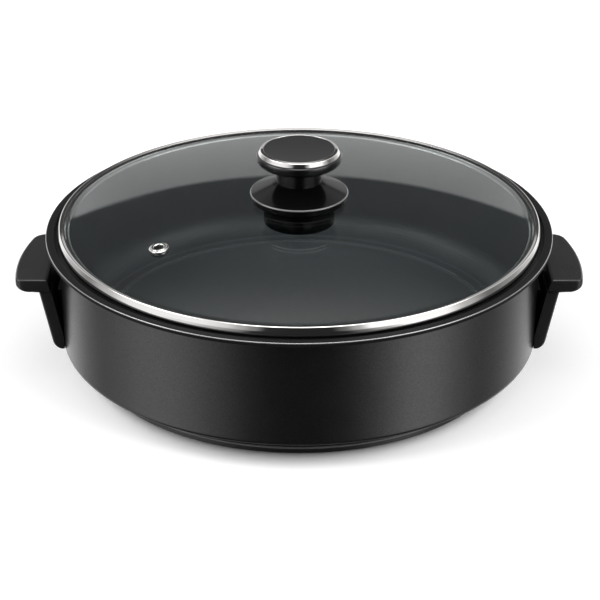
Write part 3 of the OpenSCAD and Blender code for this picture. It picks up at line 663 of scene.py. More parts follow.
# %% Turned shapes
def rounded(corners, steps=6):
    """The outline of a section. Each corner (r, z, radius) becomes an arc that touches both of its sides:
    its centre lies on the corner's bisector, at radius / sin(half the corner's angle)."""
    corners = np.array(corners, float)
    place, radius = corners[:, :2], corners[:, 2:]
    back, ahead = np.roll(place, 1, 0) - place, np.roll(place, -1, 0) - place
    back /= np.linalg.norm(back, axis=1, keepdims=True)
    ahead /= np.linalg.norm(ahead, axis=1, keepdims=True)
    half = 0.5 * np.arccos(np.clip((back * ahead).sum(1, keepdims=True), -0.999999, 0.999999))
    middle = back + ahead
    middle /= np.linalg.norm(middle, axis=1, keepdims=True)
    centre = place + middle * radius / np.sin(half)
    spoke = place + back * radius / np.tan(half) - centre
    cross = back[:, 0] * ahead[:, 1] - back[:, 1] * ahead[:, 0]
    turn = np.sign(cross)[:, None] * (2 * half - np.pi) * -np.linspace(0, 1, steps + 1)
    x = centre[:, :1] + spoke[:, :1] * np.cos(turn) + spoke[:, 1:] * np.sin(turn)
    z = centre[:, 1:] - spoke[:, :1] * np.sin(turn) + spoke[:, 1:] * np.cos(turn)
    outline = np.stack([x, z], 2).reshape(-1, 2)
    moved = np.linalg.norm(outline - np.roll(outline, 1, 0), axis=1) > 1e-7
    return outline[moved]


def with_stays(outline, reach=0.25 * mm, closed=True):
    """Adds a point near both ends of each long stretch, so that shading bends only at the roundings."""
    ahead = np.roll(outline, -1, 0) - outline
    length = np.linalg.norm(ahead, axis=1)
    if not closed:
        length[-1] = 0
    long = length > 6 * reach
    share = reach / np.maximum(length, reach)
    near, far = outline + ahead * share[:, None], outline + ahead * (1 - share[:, None])
    filled = np.stack([outline, near, far], 1).reshape(-1, 2)
    keep = np.stack([np.ones_like(long), long, long], 1).reshape(-1)
    return filled[keep]


print("sections ready")

# %% [markdown]
# ## From a section to a piece
#
# A modifier could turn the section, but then nothing could be measured or coloured before the end. As
# arrays, the points are one product of radii and angles, and a piece is finished when it is made. It
# then rides on the body that carries it, and stands for its piece of the construction.


# %% Turned pieces
def put(name, points, faces, material, body, smooth=True):
    """Makes one object from points and faces, with one or more materials, that rides on a body."""
    mesh = bpy.data.meshes.new(name)
    mesh.from_pydata(points.tolist(), [], faces)
    for each in material if isinstance(material, (list, tuple)) else [material]:
        mesh.materials.append(each)
    mesh.validate()
    if smooth:
        mesh.polygons.foreach_set("use_smooth", np.ones(len(mesh.polygons), bool))
        mesh.set_sharp_from_angle(angle=np.radians(40))
    made = bpy.data.objects.new(name, mesh)
    bpy.context.scene.collection.objects.link(made)
    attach(made, body)
    return made


def turned(outline, turns=256):
    """Points and faces of a section turned about Z: x = r cos a, y = r sin a. A section point on the axis
    becomes one pole. The section runs anticlockwise, r to the right and z up, so that faces look out."""
    angle = np.linspace(0, 2 * np.pi, turns, endpoint=False)
    r, z = outline[:, :1], outline[:, 1:]
    points = np.stack([r * np.cos(angle), r * np.sin(angle), z + 0 * angle], 2).reshape(-1, 3)
    index = np.arange(len(points)).reshape(-1, turns)
    on_axis = outline[:, 0] < 1e-9
    index[on_axis] = index[on_axis][:, :1]
    ahead = np.roll(index, -1, 0)
    quads = np.stack([index, np.roll(index, -1, 1), np.roll(ahead, -1, 1), ahead], 2)
    both_on_axis = on_axis & np.roll(on_axis, -1)
    quads = quads[~both_on_axis].reshape(-1, 4)
    flat = (quads[:, 0] == quads[:, 1]) | (quads[:, 2] == quads[:, 3])
    first = quads[:, 0] == quads[:, 1]
    tips = np.where(first[flat][:, None], quads[flat][:, [0, 2, 3]], quads[flat][:, [0, 1, 2]])
    used, order = np.unique(np.concatenate([quads[~flat].ravel(), tips.ravel()]), return_inverse=True)
    count = 4 * int((~flat).sum())
    faces = order[:count].reshape(-1, 4).tolist() + order[count:].reshape(-1, 3).tolist()
    return points[used], faces


def turn_piece(name, corners, material, body, node, turns=256, steps=6):
    """A turned piece that stands for one node of the construction."""
    points, faces = turned(with_stays(rounded(corners, steps)), turns)
    made = put(name, points, faces, material, body)
    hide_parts(node)
    size = points.max(0) - points.min(0)
    print(f"{name}: {len(faces)} faces, {size[0] / mm:.1f} x {size[2] / mm:.1f} mm")
    return made


print("turned pieces ready")

# %% [markdown]
# ## The pan
#
# One casting: a floor with a shallow well, a rounded wall, and a rim that steps down to a seat for the lid
# and turns down at its outer edge. Outside it has the charcoal coat, inside the non-stick coat, and the
# underside is bare. One section gives the whole shape, and each face takes its material from its place.

# %% The pan
pan_corners = [
    (0, base_h, 0),
    (body_r, base_h, outer_fillet),
    (body_r, seat_z - wall_t, 0.6 * mm),
    (seat_r + rim_t, seat_z - wall_t, 1.2 * mm),
    (seat_r + rim_t, rim_z - rim_t, 0.4 * mm),
    (rim_r - rim_edge_t, rim_z - rim_t, 0.3 * mm),
    (rim_r - rim_edge_t, rim_z - rim_edge_h, 0.3 * mm),
    (rim_r, rim_z - rim_edge_h, 0.6 * mm),
    (rim_r, rim_z, 0.6 * mm),
    (seat_r, rim_z, 0.7 * mm),
    (seat_r, seat_z, 0.4 * mm),
    (pan_in_r, seat_z, 0.8 * mm),
    (pan_in_r, floor_z, inner_fillet),
    (well_r + 0.9 * mm, floor_z, 0.7 * mm),
    (well_r, floor_z - well_drop, 0.5 * mm),
    (0, floor_z - well_drop, 0),
]


def make_pan():
    """Turns the section, and gives each face its coat by the height and radius of its middle."""
    pan = turn_piece(
        "pan", pan_corners, [coat_charcoal, coat_rim, coat_inside, cast_metal], "pan", "pan_body",
        turns=320, steps=10,
    )
    centres = np.empty(len(pan.data.polygons) * 3)
    pan.data.polygons.foreach_get("center", centres)
    x, y, z = centres.reshape(-1, 3).T
    r = np.hypot(x, y)
    inside = (z > floor_z - 2 * mm) & (r < body_r - 1 * mm)
    seat = (z > seat_z - 0.5 * mm) & (r < seat_r)
    rim = (z > seat_z - wall_t - 0.1 * mm) & (r > body_r + 0.2 * mm)
    under = z < base_h + 0.02 * mm
    which = np.select([under, rim, inside | seat], [3, 1, 2], 0)
    pan.data.polygons.foreach_set("material_index", which.astype(np.int32))


make_pan()

# %% [markdown]
# ## Holes and pockets
#
# Holes that aren't round the pan's axis can't be in a turned section. They are cut with a boolean, and the
# result is baked into the mesh at once, so that no cutter is left in the scene.


# %% Cutting tools
def cut(piece, *cutters):
    """Takes each cutter out of the piece with a boolean, and bakes the result into its mesh."""
    for cutter in cutters:
        taken = piece.modifiers.new("cut", "BOOLEAN")
        taken.operation, taken.solver, taken.object = "DIFFERENCE", "EXACT", cutter
    shape = piece.evaluated_get(bpy.context.evaluated_depsgraph_get())
    solid = bpy.data.meshes.new_from_object(shape)
    solid.set_sharp_from_angle(angle=np.radians(40))
    piece.modifiers.clear()
    piece.data = solid
    for cutter in cutters:
        bpy.data.objects.remove(cutter)


def rod(name, radius, low, high, frame_axes, at, turns, material):
    """A plain rod along the third of three axes (rows), for cutting holes: each point p goes to
    p x (the axes) + at."""
    points, faces = turned(np.array([(0, low), (radius, low), (radius, high), (0, high)]), turns)
    return put(name, points @ frame_axes + np.array(at), faces, material, "lid")


def block(name, low, high, material):
    """A plain box for cutting pockets: its corners are low + (0 or 1 per axis) x (high - low)."""
    corner = np.array([(x, y, z) for x in (0, 1) for y in (0, 1) for z in (0, 1)])
    faces = [(0, 1, 3, 2), (4, 6, 7, 5), (0, 4, 5, 1), (2, 3, 7, 6), (0, 2, 6, 4), (1, 5, 7, 3)]
    low, high = np.array(low), np.array(high)
    return put(name, low + corner * (high - low), faces, material, "pan", smooth=False)


print("cutting tools ready")

# %% [markdown]
# ## The domed glass
#
# The glass is a shallow dome that ends in a flat edge. It could be a sphere cut off by a boolean, but the
# edge would be rough. Here the section runs along both faces of the dome and round the ground edge.

# %% The domed glass
dome_r = glass_r - 4.8 * mm
sphere_r = (dome_r**2 + dome_rise**2) / (2 * dome_rise)
sphere_z = apex_z - sphere_r
knob_bore_r = 4.5 * mm
vent_r, vent_turn, vent_bore_r = 137.5 * mm, np.radians(216), 6.15 * mm
vent_tilt = np.arcsin(vent_r / sphere_r)


def dome(r, below=0.0):
    """Height of the dome at a distance r from the axis: the sphere's middle + sqrt(R^2 - r^2). With a value
    for below, R is that much less, which gives the dome's inner face."""
    return sphere_z + np.sqrt((sphere_r - below) ** 2 - r**2)


def glass_outline(rings=56):
    """Top of the dome from the bore out, the flat edge with its ground rounding, and back underneath."""
    under_r = np.sqrt((sphere_r - glass_t) ** 2 - (glass_z - glass_t - sphere_z) ** 2)
    top_r = np.linspace(dome_r, knob_bore_r, rings)
    low_r = np.linspace(knob_bore_r, under_r, rings)
    top = np.stack([top_r, dome(top_r)], 1)
    low = np.stack([low_r, dome(low_r, glass_t)], 1)
    edge = rounded([
        (dome_r - 1 * mm, glass_z - glass_t / 2, 0),
        (dome_r, glass_z - glass_t, 0),
        (glass_r, glass_z - glass_t, 1.7 * mm),
        (glass_r, glass_z, 1.7 * mm),
        (dome_r, glass_z, 0),
    ], 8)
    edge = with_stays(edge[2:-1], closed=False)
    return np.concatenate([low[:-1], edge, top])


def vent_frame():
    """Three axes at the vent, as rows: down the dome, round it, and square to it."""
    c, s = np.cos(vent_turn), np.sin(vent_turn)
    out, up = np.array([c, s, 0]), np.array([0, 0, 1])
    square = out * np.sin(vent_tilt) + up * np.cos(vent_tilt)
    down = out * np.cos(vent_tilt) - up * np.sin(vent_tilt)
    return np.array([down, np.cross(square, down), square])


vent_at = np.array([vent_r * np.cos(vent_turn), vent_r * np.sin(vent_turn), dome(vent_r)])


def make_glass():
    """Turns the outline into a closed shell, and bores the hole for the vent square to the dome."""
    points, faces = turned(glass_outline(), 256)
    lid = put("domed_glass", points, faces, glass, "lid")
    cut(lid, rod("vent_cutter", vent_bore_r, -12 * mm, 12 * mm, vent_frame(), vent_at, 64, glass))
    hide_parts("lid_glass")
    print(f"domed_glass: sphere {sphere_r / mm:.1f} mm, {len(lid.data.polygons)} faces")


make_glass()

# %% [markdown]
# ## The band and its seal
#
# A black silicone channel sits on the glass's edge, and a polished steel band is rolled round both. Sheet
# that is rolled over an edge never lies flat: the wall leans in, the crest is round, and the lip falls
# towards the glass. Each of these faces mirrors another part of the studio, which is what draws the white
# and dark lines along the band.

# %% The band and its seal
band_t, band_w, band_under_w = 0.8 * mm, 5 * mm, 11 * mm
band_lip_z = glass_z - glass_t - 0.4 * mm - 0.1 * mm - band_t


def beside(r, z, corners):
    """Corners in millimetres, as (outwards, upwards, rounding), beside the point (r, z) of a section."""
    return (np.array(corners, float) * mm + (r, z, 0)).tolist()


def make_band():
    """From the foot of the outer wall up: a barely leaning wall, a small roll at the crest, a lip that
    falls inwards to the glass, and the wider lip below, which falls in two steps."""
    t, w, under_w, drop = band_t / mm, band_w / mm, band_under_w / mm, 0.55
    foot = [(-t, 0, 0.2), (0, 0, 0.3)]
    crest = [
        (0, -6.4, 14), (-0.55, -3.1, 7), (-2.1, 0.3, 1.2), (-w, -0.66, 0.06), (-w, -t - 0.02, 0.06),
        (-2.5, -t - 0.02, 0.9), (-1.1, -4.1, 3), (-t, -4.9, 1.5),
    ]
    lip = [
        (-t, t, 0.1), (-6.3, t, 0.4), (-7.8, t - drop, 0.4), (-9.5, t - drop, 0.4),
        (-under_w, t - 2 * drop, 0.35), (-under_w, -2 * drop, 0.35), (-9.7, -drop - 0.1, 0.5),
        (-8, -drop - 0.1, 0.5), (-6.5, 0, 0.4), (-t, 0, 0.3),
    ]
    corners = beside(band_r, band_bottom_z, foot) + beside(band_r, band_top_z, crest)
    corners += beside(band_r, band_lip_z, lip)
    turn_piece("rolled_band", corners, chrome, "lid", "lid_band", 320, 10)


def make_seal():
    """A channel of even thickness round the glass's edge. Its upper lip ends under the band's."""
    out_r, in_r = band_r - band_t - 0.05 * mm, glass_r + 0.05 * mm
    top, low = glass_z + 0.05 * mm, glass_z - glass_t - 0.05 * mm
    lip, under, t = band_r - band_w - 1.3 * mm, band_r - band_w - 1 * mm, 0.4 * mm
    corners = [
        (lip, top, 0.1 * mm), (in_r, top, 1.75 * mm), (in_r, low, 1.2 * mm), (under, low, 0.1 * mm),
        (under, low - t, 0.15 * mm), (out_r, low - t, 0.3 * mm), (out_r, top - 4.2 * mm, 1 * mm),
        (band_r - 2.6 * mm, top + t, 0.9 * mm), (lip, top + t, 0.18 * mm),
    ]
    turn_piece("lid_seal", corners, silicone, "lid", "lid_gasket", 256, 5)


make_band()
make_seal()

# %% [markdown]
# ## The steam vent
#
# A steel eyelet is riveted through the glass, with a thin grommet under it. Seen from above it is a
# rolled ring round a dark hole, with a fine step near its edge. Its section is drawn about its own axis
# and then stood square to the dome.

# %% The steam vent
eyelet_r, hole_r, tube_r = 7.9, 3.7, 4.7
flange_z, under_z = 0.6 * mm, -glass_t - 1.15 * mm


def make_vent():
    """Turns the two sections about Z, and then moves each point p to p x (the vent's axes) + its place."""
    eyelet_corners = beside(0, under_z, [
        (hole_r, -0.8, 0.25), (eyelet_r - 1, -0.8, 0.3), (eyelet_r - 1, 0, 0.1), (tube_r, 0, 0.05),
    ]) + beside(0, flange_z, [
        (tube_r, 0, 0.05), (eyelet_r, 0, 0.2), (eyelet_r, 0.7, 0.35), (eyelet_r - 1.1, 1.15, 0.5),
        (eyelet_r - 1.5, 1.05, 0.15), (eyelet_r - 1.9, 1.85, 0.6), (hole_r + 0.2, 1.75, 1.0),
        (hole_r, -1.5, 0.5),
    ])
    bore_r, wide_r, neck = tube_r + 0.05, eyelet_r + 0.4, 6.1
    grommet_corners = beside(0, -glass_t, [
        (bore_r, -1.05, 0.1), (wide_r - 0.7, -1.05, 0.2), (wide_r - 0.7, -0.05, 0.1), (neck, -0.05, 0.05),
    ]) + beside(0, 0, [
        (neck, 0.05, 0.05), (wide_r, 0.05, 0.1), (wide_r, 0.55, 0.2), (bore_r, 0.55, 0.05),
    ])
    for name, corners, material, node, slot in (
        ("steam_eyelet", eyelet_corners, steel, "vent_eyelet", "stainless_steel"),
        ("vent_grommet", grommet_corners, silicone, "vent_gasket", "black_silicone"),
    ):
        points, faces = turned(with_stays(rounded(corners), 0.1 * mm), 96)
        made = put(name, points @ vent_frame() + vent_at, faces, material, "lid")
        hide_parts(node)
        print(f"{name}: {len(faces)} faces, tilted {np.degrees(vent_tilt):.1f} degrees")


make_vent()

# %% [markdown]
# ## The knob
#
# Four black mouldings and one bright ring: a wide skirt that keeps the fingers off the glass, a neck, a
# rounded head, and a dished cap inside the ring. All are turned. The joints between them show as fine dark
# lines, so each moulding is its own piece with small roundings at its edges.

# %% The knob's sizes and the skirt's finish
skirt_low, skirt_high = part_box("knob_skirt")
skirt_r, skirt_z, skirt_top_z = skirt_high.x, skirt_low.z, skirt_high.z
head_low, head_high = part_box("knob_head")
head_r, head_z, head_top_z = head_high.x, head_low.z, head_high.z
neck_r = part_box("knob_neck")[1].x
ring_r, ring_top_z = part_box("knob_ring")[1].x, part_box("knob_ring")[1].z
cap_r, cap_top_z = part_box("knob_cap")[1].x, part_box("knob_cap")[1].z
collar_low, collar_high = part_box("under_collar")
skirt_t, hub_r, screw_r = 3 * mm, 21.5 * mm, 2.55 * mm
skirt_edge_z = skirt_z + 5.3 * mm


def skirt_painted_highlight():
    """The knob's black, with the skirt's outer edge coloured pale and partly metallic: a painted highlight
    line, which as metal also reflects real light.
    """
    stuff = Finish("skirt_painted_highlight")
    flow = stuff.noise(30 * mm)
    # Painted highlight: the outer edge gets a pale, partly metallic colour that draws a bright line
    outermost = stuff.radius().step(skirt_r - 1.2 * mm, skirt_r - 0.5 * mm)
    edge = outermost * stuff.axis("Z").step(skirt_edge_z - 1 * mm, skirt_edge_z - 0.4 * mm)
    return stuff.shade(
        Base_Color=edge.mix(flow.mix(grey(0.0017, 0.03), grey(0.0023, 0.03)), grey(0.20)),
        Metallic=edge * 0.6,
        Roughness=0.11 + flow * 0.05 + edge * 0.08,
        Normal=stuff.bump(stuff.noise(0.9 * mm, 4.0), 0.002 * mm),
        Specular_IOR_Level=0.13,
    )


skirt_finish = skirt_painted_highlight()
print(f"knob: skirt {skirt_r / mm:.1f} mm, head {head_r / mm:.1f} mm, ring {ring_r / mm:.1f} mm")


# %% Skirt, neck and head
def make_skirt():
    """From the hub down the inside of a cone, round its lower edge, and up the outside to the neck."""
    inner_r, hub_z = skirt_r - skirt_t, apex_z + 2.1 * mm
    corners = [
        (screw_r, hub_z, 0.2 * mm), (hub_r, hub_z, 0.4 * mm), (hub_r, skirt_top_z - 4.5 * mm, 1 * mm),
        (inner_r, skirt_edge_z - 1.2 * mm, 0.6 * mm), (inner_r, skirt_z, 0.4 * mm),
        (skirt_r - 0.35 * mm, skirt_z, 0.8 * mm), (skirt_r, skirt_edge_z, 0.75 * mm),
        (neck_r + 3.2 * mm, skirt_top_z - 1.1 * mm, 5 * mm), (neck_r + 0.5 * mm, skirt_top_z, 0.4 * mm),
        (screw_r, skirt_top_z, 0.2 * mm),
    ]
    turn_piece("knob_skirt_cone", corners, skirt_finish, "lid", "knob_skirt", 192, 8)


def make_neck():
    """A plain sleeve round the screw, from the skirt's top to the head."""
    corners = [
        (screw_r, skirt_top_z, 0.1 * mm), (neck_r, skirt_top_z, 0.5 * mm),
        (neck_r, head_z, 0.1 * mm), (screw_r, head_z, 0.1 * mm),
    ]
    turn_piece("knob_neck_post", corners, knob_plastic, "lid", "knob_neck", 160)


def make_head():
    """A disc with a heavy rounding below, a smaller one above, and a blind bore for the brass insert."""
    insert_r, insert_top = 4.55 * mm, head_z + 8 * mm
    corners = [
        (insert_r, head_z, 0.3 * mm), (head_r, head_z, 6.2 * mm), (head_r, head_top_z, 2.3 * mm),
        (0, head_top_z, 0), (0, insert_top, 0), (insert_r, insert_top, 0.2 * mm),
    ]
    turn_piece("knob_head_disc", corners, knob_plastic, "lid", "knob_head", 192, 10)


for make in (make_skirt, make_neck, make_head):
    make()

# %% [markdown]
# ## The knob's ring, cap and cup
#
# The ring is a low cone round the cap and a steep one below it: the low one mirrors the light overhead, the
# steep one the dark front. The cap's dish gathers a soft glow in its middle. Under the glass, a black cup
# clamps the lid to the knob, and is seen through the glass.


# %% Ring, cap and cup
def make_ring():
    """A ring between the head and the cap: a low cone round the cap, and a steep one down to the head."""
    inner = cap_r + 0.06 * mm
    corners = [
        (inner, head_top_z, 0.1 * mm), (ring_r - 0.1 * mm, head_top_z, 0.1 * mm),
        (ring_r, head_top_z + 0.4 * mm, 0.2 * mm), (ring_r - 1.55 * mm, ring_top_z - 0.65 * mm, 0.9 * mm),
        (inner, ring_top_z + 0.05 * mm, 0.3 * mm),
    ]
    turn_piece("knob_bright_ring", corners, chrome, "lid", "knob_ring", 192, 12)


def make_cap(rings=14):
    """The cap's top is a shallow dish: its height falls with 1 - (r / R)^2 towards the middle."""
    dish = 1.0 * mm
    side = rounded([
        (0, head_top_z, 0), (cap_r, head_top_z, 0.2 * mm), (cap_r, cap_top_z, 0.35 * mm), (0, cap_top_z, 0),
    ])
    side = side[side[:, 0] > cap_r * 0.95]
    share = np.linspace(0.98, 0, rings)
    top = np.stack([cap_r * share, cap_top_z - dish * (1 - share**2)], 1)
    points, faces = turned(np.concatenate([[(0, head_top_z)], side, top]), 160)
    cap = put("knob_dished_cap", points, faces, cap_plastic, "lid")
    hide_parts("knob_cap")
    print("knob_dished_cap:", len(faces), "faces")


def make_collar():
    """A cup under the glass: a disc with a wall that hangs from it, seen through the glass."""
    r, t, low, top = collar_high.x, 3 * mm, collar_low.z, collar_high.z
    shoulder = top - 0.75 * mm
    corners = [
        (2.6 * mm, top - 4 * mm, 0.1 * mm), (r - t, top - 4 * mm, 0.8 * mm), (r - t, low, 0.5 * mm),
        (r, low, 0.9 * mm), (r, shoulder, 0.4 * mm), (hub_r - 1 * mm, shoulder, 0.2 * mm),
        (hub_r - 1 * mm, top, 0.3 * mm), (2.6 * mm, top, 0.1 * mm),
    ]
    turn_piece(
        "collar_under_glass", corners, knob_plastic, "lid", "under_collar", 192, 8,
    )


for make in (make_ring, make_cap, make_collar):
    make()

# %% [markdown]
# ## The handles
#
# Each handle is one moulding: a flat grip with a bowed outer edge, carried by a leg that leans in to the
# wall. It could be two blocks joined by a boolean, but the corner between them would be sharp. Instead
# level lines are stacked from the foot to the top of the grip. First come the sizes, and the outlines of
# grip and leg as arcs that touch each other.

# %% Outlines of grip and leg
handle_low, handle_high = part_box("right_handle")
handle_r, foot_z, grip_top_z = handle_high.x, handle_low.z, handle_high.z
grip_half = handle_high.y
grip_t, front_corner, back_corner = 11 * mm, 6 * mm, 12 * mm
bow_r, crest_y = 192 * mm, -15 * mm
grip_z = grip_top_z - grip_t
grip_in_x, grip_draft = body_r + 4.1 * mm, 2.9 / 11
leg_half, leg_corner, leg_t, leg_lean = 44.5 * mm, 2 * mm, 10.3 * mm, np.radians(11.3)
leg_out_x = body_r + 14.4 * mm
wall_gap, tuck_reach = 0.3 * mm, 22 * mm
bracket_low, bracket_high = (np.array(corner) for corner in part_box("right_handle_bracket"))
pocket_x, seat_x = bracket_high[0] + 0.1 * mm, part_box("right_handle_screws")[1].x - 2.2 * mm
screw_y, screw_z = 11 * mm, 54 * mm
head_bore_r, shank_bore_r = 5.1 * mm, 2.7 * mm
ALONG_X = np.array([(0, 1, 0), (0, 0, 1), (1, 0, 0)])


def leg_x(z):
    """Where the leg's outer face lies at a height: it leans in by the depth below the grip x tan(lean)."""
    return leg_out_x - (grip_z - z) * np.tan(leg_lean)


def arc(centre, radius, start, end, count):
    """Points centre + radius x (cos a, sin a) on an arc, and the ways that they face, a in radians."""
    turn = np.linspace(start, end, count)[:, None]
    facing = np.concatenate([np.cos(turn), np.sin(turn)], 1)
    return np.array(centre) + radius * facing, facing


def grip_outline(per_corner=9, per_bow=17):
    """The grip's line from the back end round to the front end: each corner touches the end and the bow."""
    centre = np.array([handle_r - bow_r, crest_y])
    back_turn = np.arcsin((grip_half - back_corner - crest_y) / (bow_r - back_corner))
    front_turn = np.arcsin((front_corner - grip_half - crest_y) / (bow_r - front_corner))
    back = centre + (bow_r - back_corner) * np.array([np.cos(back_turn), np.sin(back_turn)])
    front = centre + (bow_r - front_corner) * np.array([np.cos(front_turn), np.sin(front_turn)])
    parts = [
        arc(back, back_corner, np.pi / 2, back_turn, per_corner),
        arc(centre, bow_r, back_turn, front_turn, per_bow),
        arc(front, front_corner, front_turn, -np.pi / 2, per_corner),
    ]
    return [np.concatenate(each) for each in zip(*parts)]


def leg_outline(per_corner=9, per_bow=17):
    """The leg's line with its outer face at x = 0, with as many points as the grip's."""
    side = leg_half - leg_corner
    straight = np.stack([np.zeros(per_bow), np.linspace(side, -side, per_bow)], 1)
    parts = [
        arc((-leg_corner, side), leg_corner, np.pi / 2, 0, per_corner),
        (straight, np.tile([1.0, 0.0], (per_bow, 1))),
        arc((-leg_corner, -side), leg_corner, 0, -np.pi / 2, per_corner),
    ]
    return [np.concatenate(each) for each in zip(*parts)]


print(f"grip {2 * grip_half / mm:.0f} mm long, leg {leg_t / mm:.1f} mm thick")

# %% [markdown]
# ## Level lines of a handle
#
# Every level line is closed, with the same number of points: inner side, end, corner, bowed outer side,
# corner, end. Between the leg and the grip the line swells out along a small fillet. So the whole handle
# can be one skin over the lines.


# %% Level lines of a handle
def section(outline, facing, inner, draw_in, tuck, wall, round_r=0.6 * mm, per_side=15):
    """One closed level line. The outline is drawn in along its own facing, and its outer part is tucked in
    along X. The inner side has small roundings, and follows the pan's wall where wall is true."""
    share = np.clip((outline[:, 0] - outline[:, 0].max() + tuck_reach) / (tuck_reach - front_corner), 0, 1)
    outer = outline - facing * draw_in - np.stack([share * tuck, 0 * share], 1)
    half = outer[0, 1]
    y = np.linspace(-half + round_r, half - round_r, per_side)
    x = np.full(per_side, inner)
    if wall:
        x = np.maximum(x, np.sqrt((body_r + wall_gap) ** 2 - y**2))
    turn = np.linspace(0, np.pi / 2, 5)[1:]
    bend_x = x[-1] + round_r * (1 - np.cos(turn))
    bend_y = half - round_r * (1 - np.sin(turn))
    back = np.stack([bend_x, bend_y], 1)
    front = np.stack([bend_x, -bend_y], 1)[::-1]
    return np.concatenate([front, np.stack([x, y], 1), back, outer])


def quarter(steps):
    """How far a quarter round has come in, and how far it has risen, as shares of its radius."""
    turn = np.linspace(0, np.pi / 2, steps)
    return 1 - np.sin(turn), 1 - np.cos(turn)


def handle_lines():
    """Level lines from the foot up: the foot's rounding, the leg, the fillet under the grip, the grip's
    heavy lower rounding, and its top edge. Returns the lines and their heights."""
    lines, heights = [], []
    foot_r, fillet_r, top_r, end_r = 7 * mm, 1.6 * mm, 1.8 * mm, 1.0 * mm
    under_w, under_h = 7.5 * mm, 6.0 * mm
    leg, leg_facing = leg_outline()
    grip, grip_facing = grip_outline()

    def end_inset(rise):
        """How far a rounded end is drawn in at a rise above its foot: r - sqrt(r^2 - (r - rise)^2)."""
        left = np.clip(end_r - rise, 0, end_r)
        return end_r - np.sqrt(end_r**2 - left**2)

    def leg_line(z, draw_in, tuck):
        """Adds a level line of the leg."""
        inner = leg_x(z) - leg_t / np.cos(leg_lean)
        lines.append(section(leg + [leg_x(z), 0], leg_facing, inner, draw_in, tuck, True))
        heights.append(z)

    def grip_line(z, draw_in, tuck, inner_in):
        """Adds a level line of the grip. Its inner side moves out by height x draft."""
        inner = grip_in_x + (z - grip_z) * grip_draft + inner_in
        lines.append(section(grip, grip_facing, inner, draw_in, tuck, False))
        heights.append(z)

    for inset, rise in zip(*quarter(9)):
        leg_line(foot_z + foot_r * rise, end_inset(foot_r * rise), (foot_r - 1 * mm) * inset)
    for z in np.linspace(foot_z + foot_r, grip_z - fillet_r, 12)[1:]:
        leg_line(z, 0, 0)
    for inset, rise in list(zip(*quarter(6)))[1:]:
        leg_line(grip_z - fillet_r * inset, -fillet_r * rise, 0)
    for inset, rise in zip(*quarter(11)):
        grip_line(grip_z + under_h * rise, end_inset(under_h * rise), under_w * inset, 0)
    for inset, rise in zip(*quarter(8)):
        grip_line(grip_top_z - top_r * inset, top_r * rise, 0, top_r * rise)
    grip_line(grip_top_z, top_r + 0.4 * mm, 0, top_r + 0.4 * mm)
    return np.array(lines), np.array(heights)


print(len(handle_lines()[1]), "level lines in a handle")

# %% [markdown]
# ## One skin over the lines
#
# Neighbouring lines are joined by quads, and the first and the last are closed by one face each. Then two
# stepped bores for the screws and a pocket for the saddle on the wall are cut out. The left handle is the
# mirror image of the right one, so its faces run the other way round.


# %% The handles
def handle_cutters(side):
    """For each screw a wide rod for its head and a thin one for its shank, and a block for the saddle."""
    bores = (
        (head_bore_r, seat_x, seat_x + 20 * mm),
        (shank_bore_r, pocket_x - 5 * mm, seat_x + 1 * mm),
    )
    cutters = []
    for y in (-screw_y, screw_y):
        for radius, inner, outer in bores:
            low, high = sorted((side * inner, side * outer))
            cutters.append(rod("cutter", radius, low, high, ALONG_X, (0, y, screw_z), 48, phenolic))
    (low_x, low_y, low_z), (_, high_y, high_z) = bracket_low - 0.1 * mm, bracket_high + 0.1 * mm
    ends = sorted((side * (low_x - 10 * mm), side * pocket_x))
    cutters.append(block("cutter", (ends[0], low_y, low_z), (ends[1], high_y, high_z), phenolic))
    return cutters


def make_handle(name, node, side):
    """Stacks the lines into one skin and closes both ends. side is 1 for +X and -1 for the mirror image."""
    lines, heights = handle_lines()
    high, round_it = lines.shape[:2]
    z = np.broadcast_to(heights[:, None, None], (high, round_it, 1))
    points = (np.concatenate([lines, z], 2) * np.array([side, 1, 1])).reshape(-1, 3)
    index = np.arange(high * round_it).reshape(high, round_it)
    ahead = np.roll(index, -1, 1)
    quads = np.stack([index[:-1], index[1:], ahead[1:], ahead[:-1]], 2).reshape(-1, 4)
    quads = quads[:, ::side]
    faces = quads.tolist() + [index[0][::side].tolist(), index[-1][::-side].tolist()]
    made = put(name, points, faces, phenolic, "pan")
    cut(made, *handle_cutters(side))
    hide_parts(node)
    print(name, len(made.data.polygons), "faces")


make_handle("left_grip", "left_handle", -1)
make_handle("right_grip", "right_handle", 1)

# %% [markdown]
# ## The screws that can be seen
#
# The handles and the base are held by pan-head screws. The head is crowned, so that it catches light as a
# small dome, and a cross is sunk in it for the driver. One screw is turned and cut at the origin, and then
# its points are copied to every place where the construction has one.


# %% One screw
def screw_points(head_r, head_h, shank_r, length):
    """A crowned head with its flat side at z = 0 and the crown below it, on a shank that points up."""
    shape = rounded([
        (0, -head_h, 0), (0.45 * head_r, -head_h, 0.6 * head_r), (head_r, -0.45 * head_h, 0.3 * head_h),
        (head_r, 0, 0.15 * mm), (shank_r, 0, 0.05 * mm), (shank_r, length, 0.3 * mm), (0, length, 0),
    ])
    one = put("one_screw", *turned(with_stays(shape), 48), zinc, "pan")
    slot_w, slot_l, depth = 0.17 * head_r, 0.58 * head_r, 0.62 * head_h
    crosses = [
        block("cross", (-x, -y, -head_h - 1 * mm), (x, y, depth - head_h), zinc)
        for x, y in ((slot_w, slot_l), (slot_l, slot_w))
    ]
    cut(one, *crosses)
    points = np.empty(3 * len(one.data.vertices))
    one.data.vertices.foreach_get("co", points)
    faces = [tuple(face.vertices) for face in one.data.polygons]
    bpy.data.objects.remove(one)
    return points.reshape(-1, 3), faces


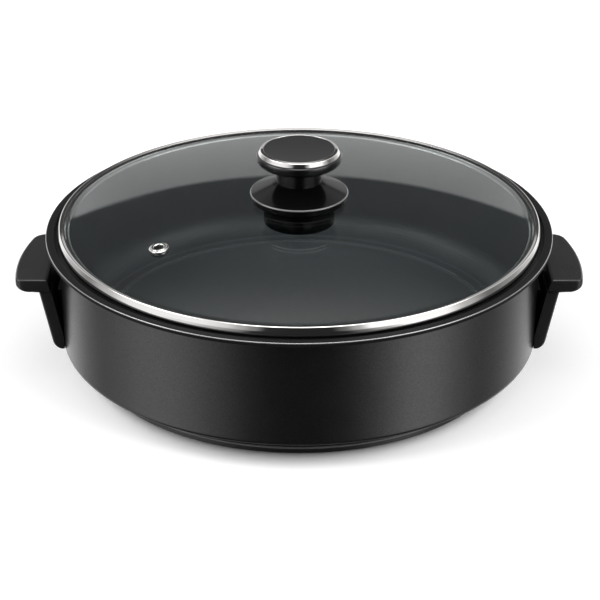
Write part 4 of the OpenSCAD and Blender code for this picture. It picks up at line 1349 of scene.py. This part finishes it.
# Radius and height of the head, and radius and length of the shank
handle_screw = screw_points(4.6 * mm, 2.2 * mm, 2.5 * mm, seat_x - body_r - 0.4 * mm)
base_screw_low, base_screw_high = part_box("base_screws")
base_head_r, base_head_h = 3.8 * mm, 2.4 * mm
base_seat_z = base_screw_low.z + base_head_h
base_screw = screw_points(base_head_r, base_head_h, 2 * mm, base_screw_high.z - base_seat_z)
print("one screw:", len(handle_screw[0]), "points,", len(handle_screw[1]), "faces")


# %% Screws in their places
def set_screws(name, node, shape, frame_axes, places):
    """One piece with a copy of the screw at every place. The third axis is the way the shanks point."""
    points, faces = shape
    points = np.concatenate([points @ frame_axes + np.array(place) for place in places])
    count = len(points) // len(places)
    faces = [tuple(i + count * at for i in face) for at in range(len(places)) for face in faces]
    made = put(name, points, faces, zinc, "pan")
    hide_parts(node)
    print(f"{name}: {len(places)} screws, {len(faces)} faces")


for side, word in ((-1, "left"), (1, "right")):
    axes = np.array([(0, -side, 0), (0, 0, 1), (-side, 0, 0)])
    places = [(side * seat_x, y, screw_z) for y in (-screw_y, screw_y)]
    set_screws(f"{word}_handle_pan_heads", f"{word}_handle_screws", handle_screw, axes, places)

boss_x = base_screw_high.x - base_head_r
base_places = [(x, y, base_seat_z) for x in (-boss_x, boss_x) for y in (-boss_x, boss_x)]
set_screws("base_pan_heads", "base_screws", base_screw, np.eye(3), base_places)

# %% [markdown]
# ## The pieces that keep their construction shape
#
# What is left is hidden or plain, and its shape in the construction is right: the base with its slots,
# the shroud round the pins, the heating parts and the inner screws. They only need their finishes.

# %% Finishes for the construction's own pieces
FINISHES = {
    "base_cover": base_plastic, "inlet_shroud": base_plastic, "feet": rubber,
    "heater_plate": cast_metal, "heating_element": sheath, "element_pins": nickel,
    "ceramic_beads": ceramic, "element_clamp": bright_sheet, "heat_shield": bright_sheet,
    "clamp_screws": zinc, "inlet_screws": zinc, "earth_screw": zinc,
    "left_handle_bracket": phenolic, "right_handle_bracket": phenolic,
    "earth_contact": nickel, "probe_sleeve": steel, "knob_insert": brass, "knob_screw": zinc,
    "knob_washer": zinc, "knob_seal": silicone, "under_seal": silicone,
}
for node, finish in FINISHES.items():
    nodes[node].data.materials.clear()
    nodes[node].data.materials.append(finish)
print(len(FINISHES), "construction pieces have their finish")
